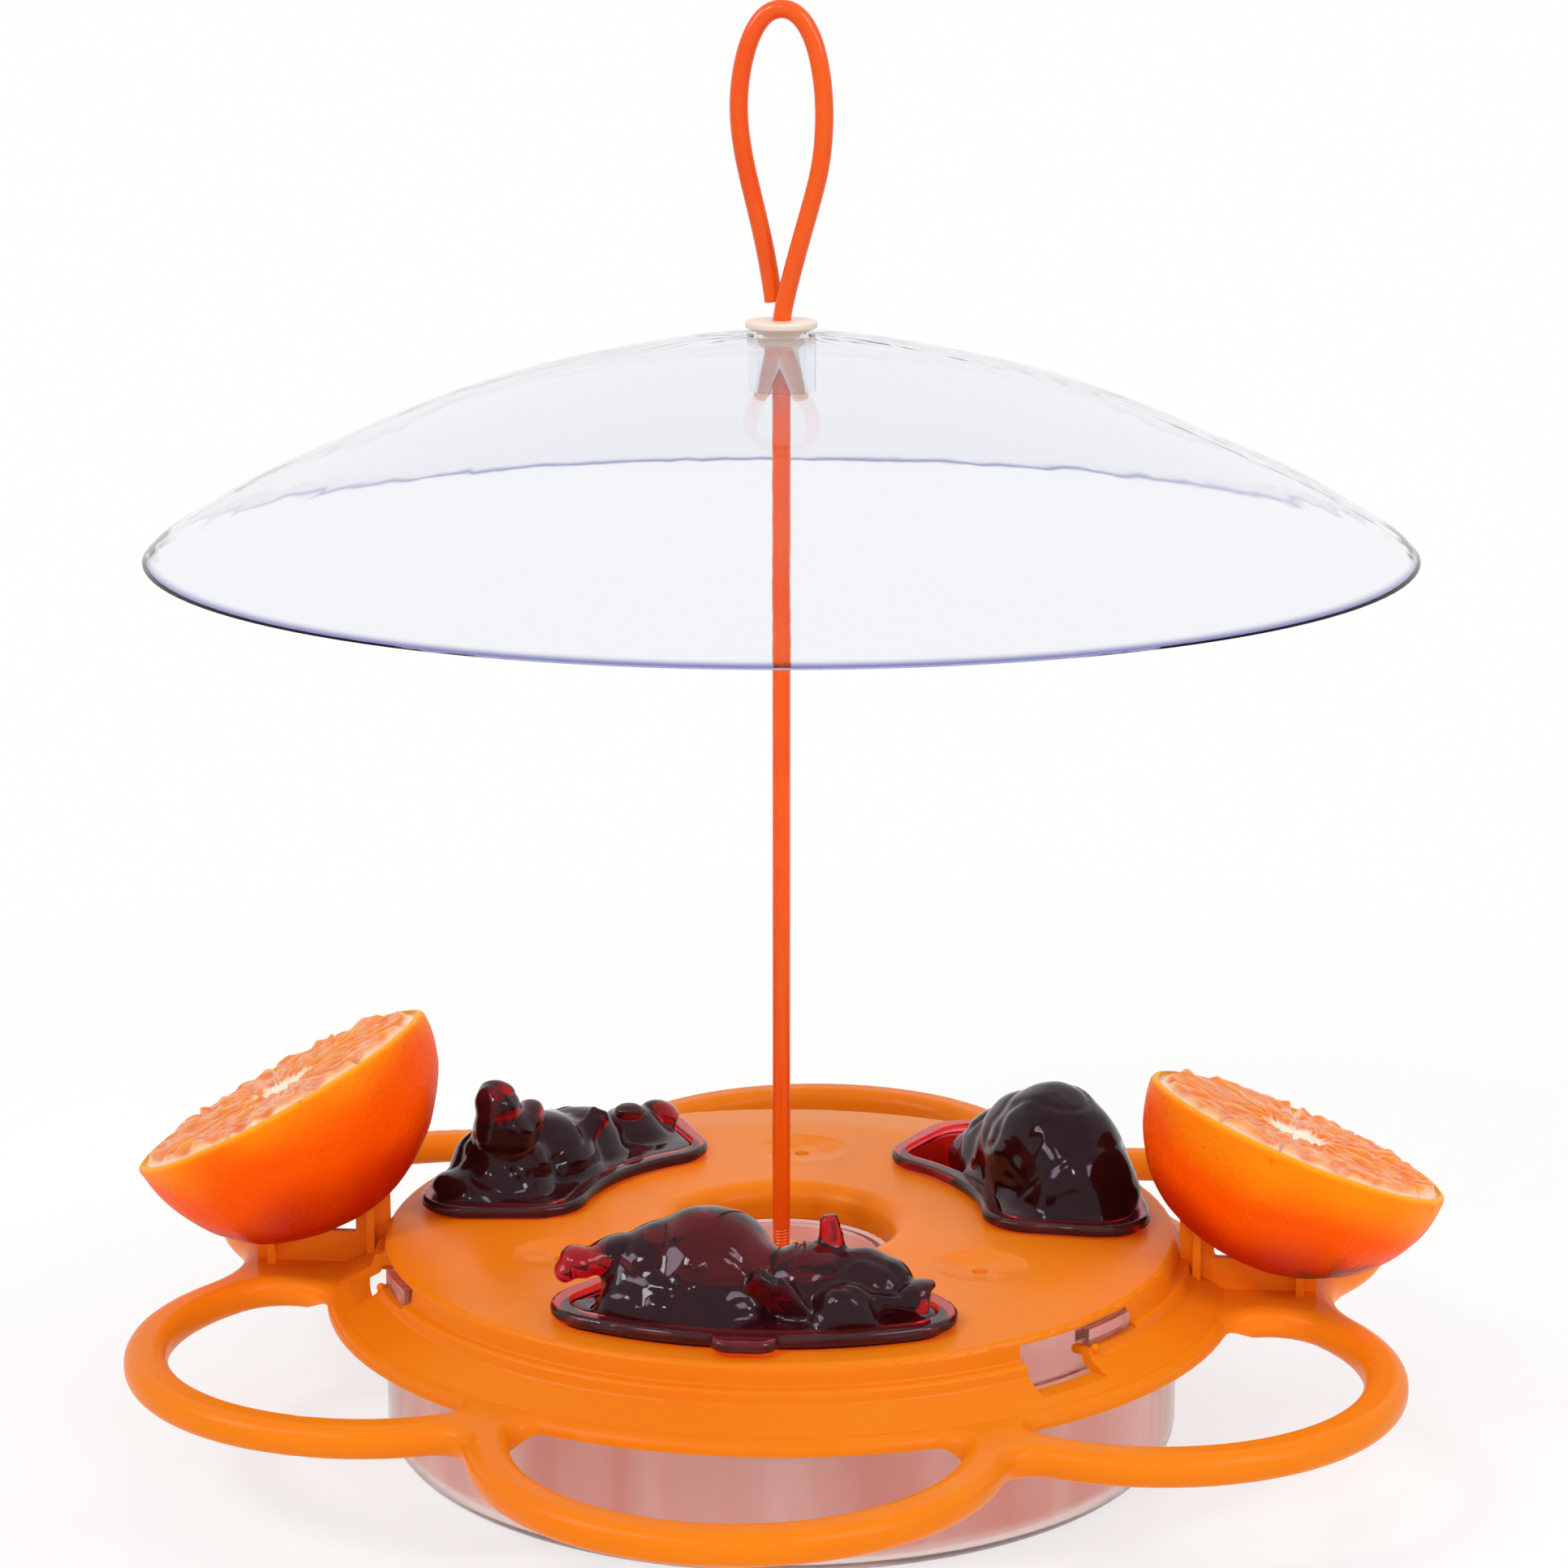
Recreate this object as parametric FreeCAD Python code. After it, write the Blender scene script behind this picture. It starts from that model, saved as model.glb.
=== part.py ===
import FreeCAD, Part
import math
import os
from FreeCAD import Vector

# A hanging fruit, jelly and nectar feeder: a clear bowl with a water moat, a moulded lid
# with a perch ring, a wire hanger rod and a clear rain dome that slides on the rod.
# Millimetres and degrees. +Z is up, the origin is the centre of the bowl's underside,
# and the two fruit brackets lie on the X axis.

# Bowl
BOWL_RADIUS = 98.8
BOWL_HEIGHT = 50.3
BOWL_WALL = 2.0
BOWL_FLOOR = 2.4
BOWL_CORNER = 6.0
NECK_HEIGHT = 10.5
NECK_STEP = 2.8
MOAT_RADIUS = 27.0
MOAT_WALL = 2.0
MOAT_FLOOR = 5.0
POST_RADIUS = 6.5
POST_RISE = 1.5
INSERT_RADIUS = 3.6
INSERT_LENGTH = 12.0
INSERT_COLLAR = 1.2

# Lid
PLATE_THICKNESS = 2.8
PLATE_EDGE_WALL = 2.1
PLATE_EDGE_ROUNDING = 1.6
PLATE_SLOPE_WIDTH = 17.4
PLATE_CROWN = 40.0
PLATE_DROP = 1.3
LID_WALL = 2.2
WELL_MARGIN = 0.5
WELL_DEPTH = 9.1
WELL_MOUTH = 5.0
STEP_DROP = 6.6
STEP_WIDTH = 3.0
STEP_SIDE = 3.1
STEP_DRAFT = 0.8
RISER_DRAFT = 0.6
FLANGE_REACH = 14.5
FLANGE_DROP = 17.6
FLANGE_LIP = 2.8
SKIRT_CLEARANCE = 3.2
SKIRT_DRAFT = 0.4
SKIRT_WALL = 1.8
SHELL_DROP = 4.6
SEAT_GAP = 0.3

# Perch ring
PERCH_DROP = 14.1
PERCH_THICKNESS = 8.0
PERCH_WIDTH = 10.4
PERCH_EDGE_RADIUS = 3.6
LOBE_COUNT = 6
LOBE_INSET = 8.3
LOBE_OVERLAP = 4.5
NOTCH_RADIUS = 7.0
BRACKET_NOTCH_RADIUS = 34.0
OPENING_CORNER = 5.0
BRACKET_OPENING_CORNER = 12.0
WEB_RAMP = 6.0

# Twist lock between bowl and lid
LOCK_AZIMUTHS = (80.3, 200.3, 320.3)
WINDOW_SPAN = 22.0
ENTRY_SPAN = 11.0
ENTRY_SILL_DROP = 12.6
LOCK_SILL_DROP = 7.6
TAB_SPAN = 9.5
TAB_HEIGHT = 4.0
TAB_REACH = 4.2
TAB_END_GAP = 0.6
NIB_RADIUS = 1.1
NIB_SETBACK = 1.2
NIB_GAP = 0.3

# Fruit brackets
BRACKET_AZIMUTHS = {"left": 180.0, "right": 0.0}
SPIKE_INSET = 9.9
SPIKE_SPACING = 25.5
SPIKE_WIDTH = 8.6
SPIKE_BLADE = 2.0
SPIKE_HEIGHT = 29.5
SPIKE_POINT = 9.0
FIN_HEIGHT = 8.1

# Jelly dishes and the pockets that hold them
DISH_AZIMUTHS = {"front": 270.0, "right": 30.0, "left": 150.0}
DISH_MARGIN = 8.8
DISH_WIDTH = 37.2
DISH_HALF_ANGLE = 33.8
DISH_CORNER = 11.0
DISH_WALL = 1.6
DISH_DEPTH = 11.5
DISH_RIM_WIDTH = 2.4
DISH_RIM_HEIGHT = 3.0
DISH_TAB_WIDTH = 16.0
DISH_TAB_REACH = 4.6
DISH_GAP = 0.4
POCKET_WALL = 1.8

# Nectar ports
PORT_AZIMUTHS = (90.0, 210.0, 330.0)
PORT_INSET = 39.4
PORT_RADIUS = 11.8
PORT_DEPTH = 1.6
PORT_HOLE_RADIUS = 4.2
PORT_BOSS_MARGIN = 2.2
PORT_BOSS_HEIGHT = 5.6
PETAL_COUNT = 5
PETAL_RADIUS = 4.4
PETAL_DEPTH = 1.4

# Hanger rod, a single wire bent into a loop at the top
ROD_RADIUS = 2.2
ROD_GRIP = 11.0
ROD_BEND_RISE = 1.9
ROD_BEND_RADIUS = 14.0
LOOP_HEIGHT = 73.8
LOOP_HALF_WIDTH = 11.2
LOOP_SIDE_RISE = 41.5
LOOP_RETURN_RISE = 48.0
LOOP_SIDE_RADIUS = 55.0
LOOP_CROWN_HALF_WIDTH = 6.6
LOOP_CROWN_RADIUS = 6.9
WIRE_END_RISE = 2.0
WIRE_END_GAP = 0.5
ROD_THREAD_GAP = 0.06

# Dome and its grommet
DOME_RADIUS = 152.4
DOME_RISE = 51.7
DOME_CLEARANCE = 170.4
DOME_WALL = 1.5
DOME_PROFILE = ((0.0, 1.0), (0.26, 0.907), (0.525, 0.698), (0.72, 0.459), (0.853, 0.278),
                (0.95, 0.113), (1.0, 0.0))
HUB_BORE = 5.9
HUB_GAP = 0.3
HUB_RADIUS = 8.2
HUB_LENGTH = 14.0
GROMMET_RADIUS = 8.6
GROMMET_FLANGE = 2.6
GROMMET_WAIST_RADIUS = 3.9
GROMMET_WAIST_DEPTH = 4.6
GROMMET_BEAD_REACH = 0.6
GROMMET_BEAD_HEIGHT = 1.8
GROMMET_WALL = 1.3
GROMMET_BORE_GAP = 0.06
GROMMET_SLOT_WIDTH = 7.0
GROMMET_SLOT_HEIGHT = 8.0

# Orange halves: shift is outward from the middle of the bracket, height is over the perch
FRUIT = {
    "left": {"radius": 40.6, "depth": 38.0, "shift": 10.45, "height": 45.0, "tilt": 28.5, "lean": 4.0},
    "right": {"radius": 39.3, "depth": 34.8, "shift": 11.65, "height": 40.3, "tilt": 21.3, "lean": -8.0},
}
FRUIT_EDGE = 2.0
FRUIT_ROUNDNESS = 0.57
SPIKE_HOLE_GAP = 0.3

# Jelly heaps: outward from the middle of the dish, along the dish, height over the lid, size
JELLY_FILL = 0.6
JELLY_SINK = 0.5
JELLY_CEILING = 60.0
JELLY_LUMPS = {
    "front": [(-2, -12, 7, 20), (-1, -28, 3, 13.5), (-1, 9, 4, 15), (0, 26, 3, 12.5),
              (-7, 18, 17, 5.5), (-3, -37, 7, 6.5)],
    "right": [(-1, -12, 7.4, 24), (0, 10, 3.4, 16), (0, -28, 5.4, 15), (-1, 24, 1.4, 10)],
    "left": [(-1, 8, 4.4, 15), (-2, 26, 4.4, 13), (-8, 24, 20.4, 8), (-1, -12, 3.4, 14),
             (-1, -28, 4.4, 10), (-5, -35, 8.4, 6)],
}

# Sizes that follow from the ones above
NECK_RADIUS = BOWL_RADIUS - NECK_STEP
BOWL_SHOULDER = BOWL_HEIGHT - NECK_HEIGHT
PLATE_UNDERSIDE = BOWL_HEIGHT + SEAT_GAP
PLATE_HEIGHT = PLATE_UNDERSIDE + PLATE_THICKNESS
LID_BORE = NECK_RADIUS + SEAT_GAP
PLATE_RADIUS = LID_BORE + PLATE_EDGE_WALL
FLANGE_RADIUS = BOWL_RADIUS + FLANGE_REACH
WELL_RADIUS = MOAT_RADIUS + WELL_MARGIN
WELL_BOTTOM = PLATE_HEIGHT - WELL_DEPTH
POST_HEIGHT = WELL_BOTTOM + POST_RISE
STEP_HEIGHT = PLATE_HEIGHT - STEP_DROP
FLANGE_BOTTOM = PLATE_HEIGHT - FLANGE_DROP
ENTRY_SILL = PLATE_HEIGHT - ENTRY_SILL_DROP
LOCK_SILL = PLATE_HEIGHT - LOCK_SILL_DROP
PERCH_TOP = PLATE_HEIGHT - PERCH_DROP
PERCH_BOTTOM = PERCH_TOP - PERCH_THICKNESS
WEB_STEP = 360.0 / LOBE_COUNT
LOBE_OFFSET = FLANGE_RADIUS - LOBE_INSET
LOBE_RADIUS = LOBE_OFFSET * math.sin(math.radians(WEB_STEP / 2)) + LOBE_OVERLAP
LOBE_OUTER = LOBE_RADIUS + PERCH_WIDTH / 2
LOBE_INNER = LOBE_RADIUS - PERCH_WIDTH / 2
SPIKE_INNER = FLANGE_RADIUS - SPIKE_INSET
SPIKE_OUTER = SPIKE_INNER + SPIKE_SPACING
BRACKET_BASE = PERCH_TOP - PERCH_EDGE_RADIUS / 2
FIN_TOP = PERCH_TOP + FIN_HEIGHT
SPIKE_TOP = PERCH_TOP + SPIKE_HEIGHT
TAB_RADIUS = NECK_RADIUS + TAB_REACH
DISH_OUTER = PLATE_RADIUS - DISH_MARGIN
DISH_INNER = DISH_OUTER - DISH_WIDTH
DISH_MIDDLE = (DISH_INNER + DISH_OUTER) / 2
PORT_OFFSET = PLATE_RADIUS - PORT_INSET
PORT_BOSS_RADIUS = PORT_RADIUS + PORT_BOSS_MARGIN
ROD_BORE = ROD_RADIUS + ROD_THREAD_GAP
DOME_RIM_HEIGHT = PLATE_HEIGHT + DOME_CLEARANCE
DOME_TOP = DOME_RIM_HEIGHT + DOME_RISE
HUB_BOTTOM = DOME_TOP - HUB_LENGTH
GROMMET_TOP = DOME_TOP + SEAT_GAP + GROMMET_FLANGE

TOP = Vector(0, 0, 1)
ORIGIN = Vector(0, 0, 0)


def polar(radius, azimuth, height=0.0):
    """A point at a radius and azimuth around the axis."""
    angle = math.radians(azimuth)
    return Vector(radius * math.cos(angle), radius * math.sin(angle), height)


def rounded_path(corners, closed=False):
    """A wire of lines and tangent arcs through (point, rounding radius) corners."""
    count = len(corners)
    ends = []
    for index, (corner, radius) in enumerate(corners):
        is_end = not closed and index in (0, count - 1)
        if radius == 0 or is_end:
            ends.append((corner, None, corner))
            continue
        before = (corners[index - 1][0] - corner).normalize()
        after = (corners[(index + 1) % count][0] - corner).normalize()
        half = before.getAngle(after) / 2
        reach = radius / math.tan(half)
        inward = (before + after).normalize()
        middle = corner + inward * (radius / math.sin(half) - radius)
        ends.append((corner + before * reach, middle, corner + after * reach))
    edges = []
    for index, (start, middle, end) in enumerate(ends):
        if middle is not None:
            edges.append(Part.Arc(start, middle, end).toShape())
        if index == count - 1 and not closed:
            break
        following = ends[(index + 1) % count][0]
        if (following - end).Length > 1e-6:
            edges.append(Part.LineSegment(end, following).toShape())
    return Part.Wire(edges)


def turned(corners):
    """A solid of revolution about Z from (radius, height, rounding) corners."""
    outline = [(Vector(radius, 0, height), rounding) for radius, height, rounding in corners]
    return Part.Face(rounded_path(outline, closed=True)).revolve(ORIGIN, TOP, 360)


def cylinder(radius, bottom, top, centre=ORIGIN):
    """An upright cylinder between two heights."""
    return Part.makeCylinder(radius, top - bottom, Vector(centre.x, centre.y, bottom), TOP)


def sector(inner, outer, half_angle, azimuth, bottom, top, corner=0.0):
    """A piece of a ring, with its upright corners rounded."""
    low, high = azimuth - half_angle, azimuth + half_angle
    edges = [
        Part.Arc(polar(outer, low), polar(outer, azimuth), polar(outer, high)).toShape(),
        Part.LineSegment(polar(outer, high), polar(inner, high)).toShape(),
        Part.Arc(polar(inner, high), polar(inner, azimuth), polar(inner, low)).toShape(),
        Part.LineSegment(polar(inner, low), polar(outer, low)).toShape(),
    ]
    solid = Part.Face(Part.Wire(edges)).extrude(TOP * (top - bottom))
    if corner > 0:
        upright = [edge for edge in solid.Edges
                   if abs(edge.tangentAt(edge.FirstParameter).z) > 0.99]
        solid = solid.makeFillet(corner, upright)
    solid.translate(TOP * bottom)
    return solid


def turn(shape, azimuth):
    """A copy turned about the axis."""
    copy = shape.copy()
    copy.rotate(ORIGIN, TOP, azimuth)
    return copy


def dish_form(inset, bottom, top):
    """The kidney form of a dish on the +X side, shrunk by inset (or grown if negative)."""
    half_angle = DISH_HALF_ANGLE - math.degrees(inset / DISH_MIDDLE)
    return sector(DISH_INNER + inset, DISH_OUTER - inset, half_angle, 0.0,
                  bottom, top, DISH_CORNER - inset)


def make_bowl():
    """Clear bowl: round wall, stepped neck, central moat cup, threaded post and lock tabs."""
    outer = BOWL_RADIUS
    inner = BOWL_RADIUS - BOWL_WALL
    shoulder = BOWL_SHOULDER
    moat_top = WELL_BOTTOM - SEAT_GAP
    bowl = turned([
        (0, 0, 0), (outer, 0, BOWL_CORNER), (outer, shoulder, 1.5), (NECK_RADIUS, shoulder, 0.8),
        (NECK_RADIUS, BOWL_HEIGHT, 0.5), (NECK_RADIUS - BOWL_WALL, BOWL_HEIGHT, 0.5),
        (NECK_RADIUS - BOWL_WALL, shoulder - BOWL_WALL, 0.8),
        (inner, shoulder - BOWL_WALL, 0.8), (inner, BOWL_FLOOR, BOWL_CORNER - BOWL_WALL),
        (MOAT_RADIUS, BOWL_FLOOR, 2.0), (MOAT_RADIUS, moat_top, 0.6),
        (MOAT_RADIUS - MOAT_WALL, moat_top, 0.6), (MOAT_RADIUS - MOAT_WALL, MOAT_FLOOR, 2.0),
        (POST_RADIUS, MOAT_FLOOR, 1.5), (POST_RADIUS, POST_HEIGHT, 0.8), (0, POST_HEIGHT, 0),
    ])
    for azimuth in LOCK_AZIMUTHS:
        middle = azimuth + WINDOW_SPAN / 2 - TAB_END_GAP - TAB_SPAN / 2
        low = LOCK_SILL + SEAT_GAP
        tab = sector(NECK_RADIUS - BOWL_WALL / 2, TAB_RADIUS, TAB_SPAN / 2, middle,
                     low, low + TAB_HEIGHT)
        bowl = bowl.fuse(tab)
    bowl = bowl.cut(cylinder(INSERT_RADIUS, POST_HEIGHT - INSERT_LENGTH, POST_HEIGHT + 1))
    return bowl.removeSplitter()


def make_insert():
    """Brass insert in the post, which the rod screws into."""
    base = POST_HEIGHT - INSERT_LENGTH
    collar = INSERT_RADIUS + INSERT_COLLAR
    return turned([
        (ROD_BORE, base, 0), (INSERT_RADIUS, base, 0), (INSERT_RADIUS, POST_HEIGHT, 0),
        (collar, POST_HEIGHT, 0), (collar, POST_HEIGHT + INSERT_COLLAR, 0.3),
        (ROD_BORE, POST_HEIGHT + INSERT_COLLAR, 0),
    ])


def make_lid_shell():
    """Turned part of the lid: well, plate, stepped side and sloping flange."""
    edge = PLATE_HEIGHT - PLATE_DROP
    step = PLATE_RADIUS + STEP_WIDTH
    hub = FLANGE_RADIUS - FLANGE_LIP
    skirt = LID_BORE + SKIRT_CLEARANCE
    skirt_foot = LOCK_SILL - SKIRT_WALL
    return turned([
        (WELL_RADIUS, WELL_BOTTOM, 0.6), (WELL_RADIUS, PLATE_HEIGHT, WELL_MOUTH),
        (PLATE_RADIUS - PLATE_SLOPE_WIDTH, PLATE_HEIGHT, PLATE_CROWN),
        (PLATE_RADIUS, edge, PLATE_EDGE_ROUNDING), (PLATE_RADIUS + RISER_DRAFT, STEP_HEIGHT + 0.2, 0.8),
        (step, STEP_HEIGHT, 1.2), (step + STEP_DRAFT, STEP_HEIGHT - STEP_SIDE, 1.6),
        (hub, PERCH_TOP, 0), (hub, FLANGE_BOTTOM + 1, 0),
        (skirt + SKIRT_DRAFT, STEP_HEIGHT - SHELL_DROP, 1.0), (skirt, skirt_foot, 0),
        (LID_BORE, skirt_foot, 0.5), (LID_BORE, PLATE_UNDERSIDE, 0.3),
        (WELL_RADIUS + LID_WALL, PLATE_UNDERSIDE, 1.0), (WELL_RADIUS + LID_WALL, WELL_BOTTOM, 0.6),
    ])


def circle_meet(lobe, other_radius, lobe_radius, side):
    """Centre of a rounding circle at other_radius from the axis and lobe_radius from the lobe."""
    cosine = (other_radius ** 2 + LOBE_OFFSET ** 2 - lobe_radius ** 2) / (2 * other_radius * LOBE_OFFSET)
    return polar(other_radius, lobe + side * math.degrees(math.acos(cosine)))


def between(centre, radius, start, end):
    """The point of a circle halfway along its short arc from start to end."""
    middle = ((start - centre) + (end - centre)).normalize()
    return centre + middle * radius


def is_bracket_web(azimuth):
    """True for the two wide webs that carry the fruit brackets."""
    return any(abs((azimuth - place + 180) % 360 - 180) < 1 for place in BRACKET_AZIMUTHS.values())


def perch_outline():
    """The ring's outer edge: an arc round each lobe and a rounded notch at each web."""
    notches = []
    for index in range(LOBE_COUNT):
        web = index * WEB_STEP
        radius = BRACKET_NOTCH_RADIUS if is_bracket_web(web) else NOTCH_RADIUS
        along = LOBE_OFFSET * math.cos(math.radians(WEB_STEP / 2))
        across = LOBE_OFFSET * math.sin(math.radians(WEB_STEP / 2))
        reach = along + math.sqrt((LOBE_OUTER + radius) ** 2 - across ** 2)
        notches.append((polar(reach, web), radius))
    edges = []
    for index in range(LOBE_COUNT):
        lobe = polar(LOBE_OFFSET, (index + 0.5) * WEB_STEP)
        before, before_radius = notches[index]
        after, after_radius = notches[(index + 1) % LOBE_COUNT]
        start = lobe + (before - lobe).normalize() * LOBE_OUTER
        end = lobe + (after - lobe).normalize() * LOBE_OUTER
        tip = polar(LOBE_OFFSET + LOBE_OUTER, (index + 0.5) * WEB_STEP)
        edges.append(Part.Arc(start, tip, end).toShape())
        next_lobe = polar(LOBE_OFFSET, (index + 1.5) * WEB_STEP)
        restart = next_lobe + (after - next_lobe).normalize() * LOBE_OUTER
        edges.append(Part.Arc(end, between(after, after_radius, end, restart), restart).toShape())
    return Part.Wire(edges)


def perch_opening(index):
    """The outline of the gap between the flange and one lobe of the perch."""
    azimuth = (index + 0.5) * WEB_STEP
    lobe = polar(LOBE_OFFSET, azimuth)
    corners = []
    for side in (-1, 1):
        wide = is_bracket_web(azimuth + side * WEB_STEP / 2)
        radius = BRACKET_OPENING_CORNER if wide else OPENING_CORNER
        centre = circle_meet(azimuth, FLANGE_RADIUS + radius, LOBE_INNER - radius, side)
        on_flange = centre * (FLANGE_RADIUS / centre.Length)
        on_lobe = lobe + (centre - lobe).normalize() * LOBE_INNER
        corners.append((centre, radius, on_flange, on_lobe))
    low, high = corners
    tip = polar(LOBE_OFFSET + LOBE_INNER, azimuth)
    return Part.Wire([
        Part.Arc(low[2], polar(FLANGE_RADIUS, azimuth), high[2]).toShape(),
        Part.Arc(high[2], between(high[0], high[1], high[2], high[3]), high[3]).toShape(),
        Part.Arc(high[3], tip, low[3]).toShape(),
        Part.Arc(low[3], between(low[0], low[1], low[3], low[2]), low[2]).toShape(),
    ])


def make_perch_ring():
    """Six-lobed perch with rounded bars, cut away below its webs to meet the flange."""
    height = TOP * PERCH_THICKNESS
    ring = Part.Face(perch_outline()).extrude(height)
    for index in range(LOBE_COUNT):
        ring = ring.cut(Part.Face(perch_opening(index)).extrude(height))
    flat = [edge for edge in ring.Edges
            if abs(edge.BoundBox.ZLength) < 1e-6]
    ring = ring.makeFillet(PERCH_EDGE_RADIUS, flat)
    ring.translate(TOP * PERCH_BOTTOM)
    hub = FLANGE_RADIUS - 2 * FLANGE_LIP
    ring = ring.cut(cylinder(hub, PERCH_BOTTOM - 1, PERCH_TOP + 1))
    under = turned([
        (0, PERCH_BOTTOM - 1, 0), (FLANGE_RADIUS + WEB_RAMP, PERCH_BOTTOM - 1, 0),
        (FLANGE_RADIUS + WEB_RAMP, PERCH_BOTTOM, 0), (FLANGE_RADIUS, FLANGE_BOTTOM, 0),
        (0, FLANGE_BOTTOM, 0),
    ])
    return ring.cut(under)


def make_spike(radius, grow):
    """Plus-shaped spike with a pointed top, on the +X side, thickened by grow on each face."""
    half, blade = SPIKE_WIDTH / 2 + grow, SPIKE_BLADE / 2 + grow
    tip = SPIKE_BLADE / 4 + grow
    shoulder = SPIKE_TOP - SPIKE_POINT + grow
    corners = [Vector(-half, -blade, BRACKET_BASE), Vector(half, -blade, BRACKET_BASE),
               Vector(half, -blade, shoulder), Vector(tip, -blade, SPIKE_TOP + grow),
               Vector(-tip, -blade, SPIKE_TOP + grow), Vector(-half, -blade, shoulder)]
    along = Part.Face(Part.makePolygon(corners + corners[:1])).extrude(Vector(0, 2 * blade, 0))
    spike = along.fuse(turn(along, 90))
    spike.translate(Vector(radius, 0, 0))
    return spike


def make_bracket(grow=0.0):
    """Two spikes and the low fin between them, on the +X side."""
    fin = Part.makeBox(SPIKE_OUTER - SPIKE_INNER, SPIKE_BLADE + 2 * grow,
                       FIN_TOP + grow - BRACKET_BASE,
                       Vector(SPIKE_INNER, -SPIKE_BLADE / 2 - grow, BRACKET_BASE))
    return fin.fuse([make_spike(SPIKE_INNER, grow), make_spike(SPIKE_OUTER, grow)])


def make_lid():
    """The whole lid moulding."""
    lid = make_lid_shell().fuse(make_perch_ring())
    pocket_floor = PLATE_HEIGHT - DISH_DEPTH - SEAT_GAP
    for azimuth in DISH_AZIMUTHS.values():
        tub = dish_form(-DISH_GAP - POCKET_WALL, pocket_floor - POCKET_WALL, PLATE_UNDERSIDE + 0.5)
        lid = lid.fuse(turn(tub, azimuth))
    for azimuth in PORT_AZIMUTHS:
        centre = polar(PORT_OFFSET, azimuth)
        lid = lid.fuse(cylinder(PORT_BOSS_RADIUS, PLATE_HEIGHT - PORT_BOSS_HEIGHT,
                                PLATE_UNDERSIDE + 0.5, centre))
    for azimuth in BRACKET_AZIMUTHS.values():
        lid = lid.fuse(turn(make_bracket(), azimuth))
    for azimuth in DISH_AZIMUTHS.values():
        pocket = dish_form(-DISH_GAP, pocket_floor, PLATE_HEIGHT + 1)
        lid = lid.cut(turn(pocket, azimuth))
    for azimuth in PORT_AZIMUTHS:
        lid = lid.cut(make_port_hollow(azimuth))
    for azimuth in LOCK_AZIMUTHS:
        lid = lid.cut(make_window(azimuth))
        nib_azimuth = azimuth - WINDOW_SPAN / 2 + ENTRY_SPAN + NIB_SETBACK
        nib_radius = TAB_RADIUS + NIB_GAP + NIB_RADIUS
        nib = Part.makeSphere(NIB_RADIUS, polar(nib_radius, nib_azimuth, LOCK_SILL))
        lid = lid.fuse(nib)
    return lid.removeSplitter()


def make_port_hollow(azimuth):
    """A shallow round dish with petals and a feeding hole."""
    ball = (PORT_RADIUS ** 2 + PORT_DEPTH ** 2) / (2 * PORT_DEPTH)
    centre = polar(PORT_OFFSET, azimuth)
    hollow = Part.makeSphere(ball, centre + TOP * (PLATE_HEIGHT - PORT_DEPTH + ball))
    petal_ball = (PETAL_RADIUS ** 2 + PETAL_DEPTH ** 2) / (2 * PETAL_DEPTH)
    petal_offset = (PORT_RADIUS + PORT_HOLE_RADIUS) / 2
    for index in range(PETAL_COUNT):
        spot = centre + polar(petal_offset, azimuth + index * 360.0 / PETAL_COUNT)
        floor = PLATE_HEIGHT - PORT_DEPTH / 2 - PETAL_DEPTH
        hollow = hollow.fuse(Part.makeSphere(petal_ball, spot + TOP * (floor + petal_ball)))
    return hollow.fuse(cylinder(PORT_HOLE_RADIUS, PLATE_HEIGHT - PORT_BOSS_HEIGHT - 1,
                                PLATE_HEIGHT + 1, centre))


def make_window(azimuth):
    """Two-level window: a deep entry for the tab and a higher sill that locks it."""
    low = azimuth - WINDOW_SPAN / 2
    inner = NECK_RADIUS - BOWL_WALL / 2
    outer = FLANGE_RADIUS
    entry = sector(inner, outer, ENTRY_SPAN / 2, low + ENTRY_SPAN / 2, ENTRY_SILL, PLATE_UNDERSIDE)
    lock = sector(inner, outer, WINDOW_SPAN / 2, azimuth, LOCK_SILL, PLATE_UNDERSIDE)
    return entry.fuse(lock)


def make_dish():
    """Jelly dish on the +X side: a kidney cup, a rounded rim and a finger tab."""
    floor = PLATE_HEIGHT - DISH_DEPTH
    rim_top = PLATE_HEIGHT + SEAT_GAP + DISH_RIM_HEIGHT
    rim = dish_form(-DISH_RIM_WIDTH, PLATE_HEIGHT + SEAT_GAP, rim_top)
    tab_length = DISH_TAB_REACH + DISH_RIM_WIDTH
    tab = Part.makeBox(tab_length, DISH_TAB_WIDTH, DISH_RIM_HEIGHT,
                       Vector(DISH_OUTER, -DISH_TAB_WIDTH / 2, PLATE_HEIGHT + SEAT_GAP))
    upright = [edge for edge in tab.Edges
               if edge.BoundBox.ZLength > 1 and edge.CenterOfMass.x > DISH_OUTER + 1]
    tab = tab.makeFillet(tab_length * 0.7, upright)
    rim = rim.fuse(tab).removeSplitter()
    rim = rim.makeFillet(DISH_RIM_HEIGHT * 0.4, [edge for edge in rim.Edges
                                                if edge.BoundBox.ZLength < 1e-6])
    cup = dish_form(0.0, floor, rim_top - DISH_RIM_HEIGHT / 2)
    cavity = dish_form(DISH_WALL, floor + DISH_WALL, rim_top + 1)
    return rim.fuse(cup).cut(cavity).removeSplitter()


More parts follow.
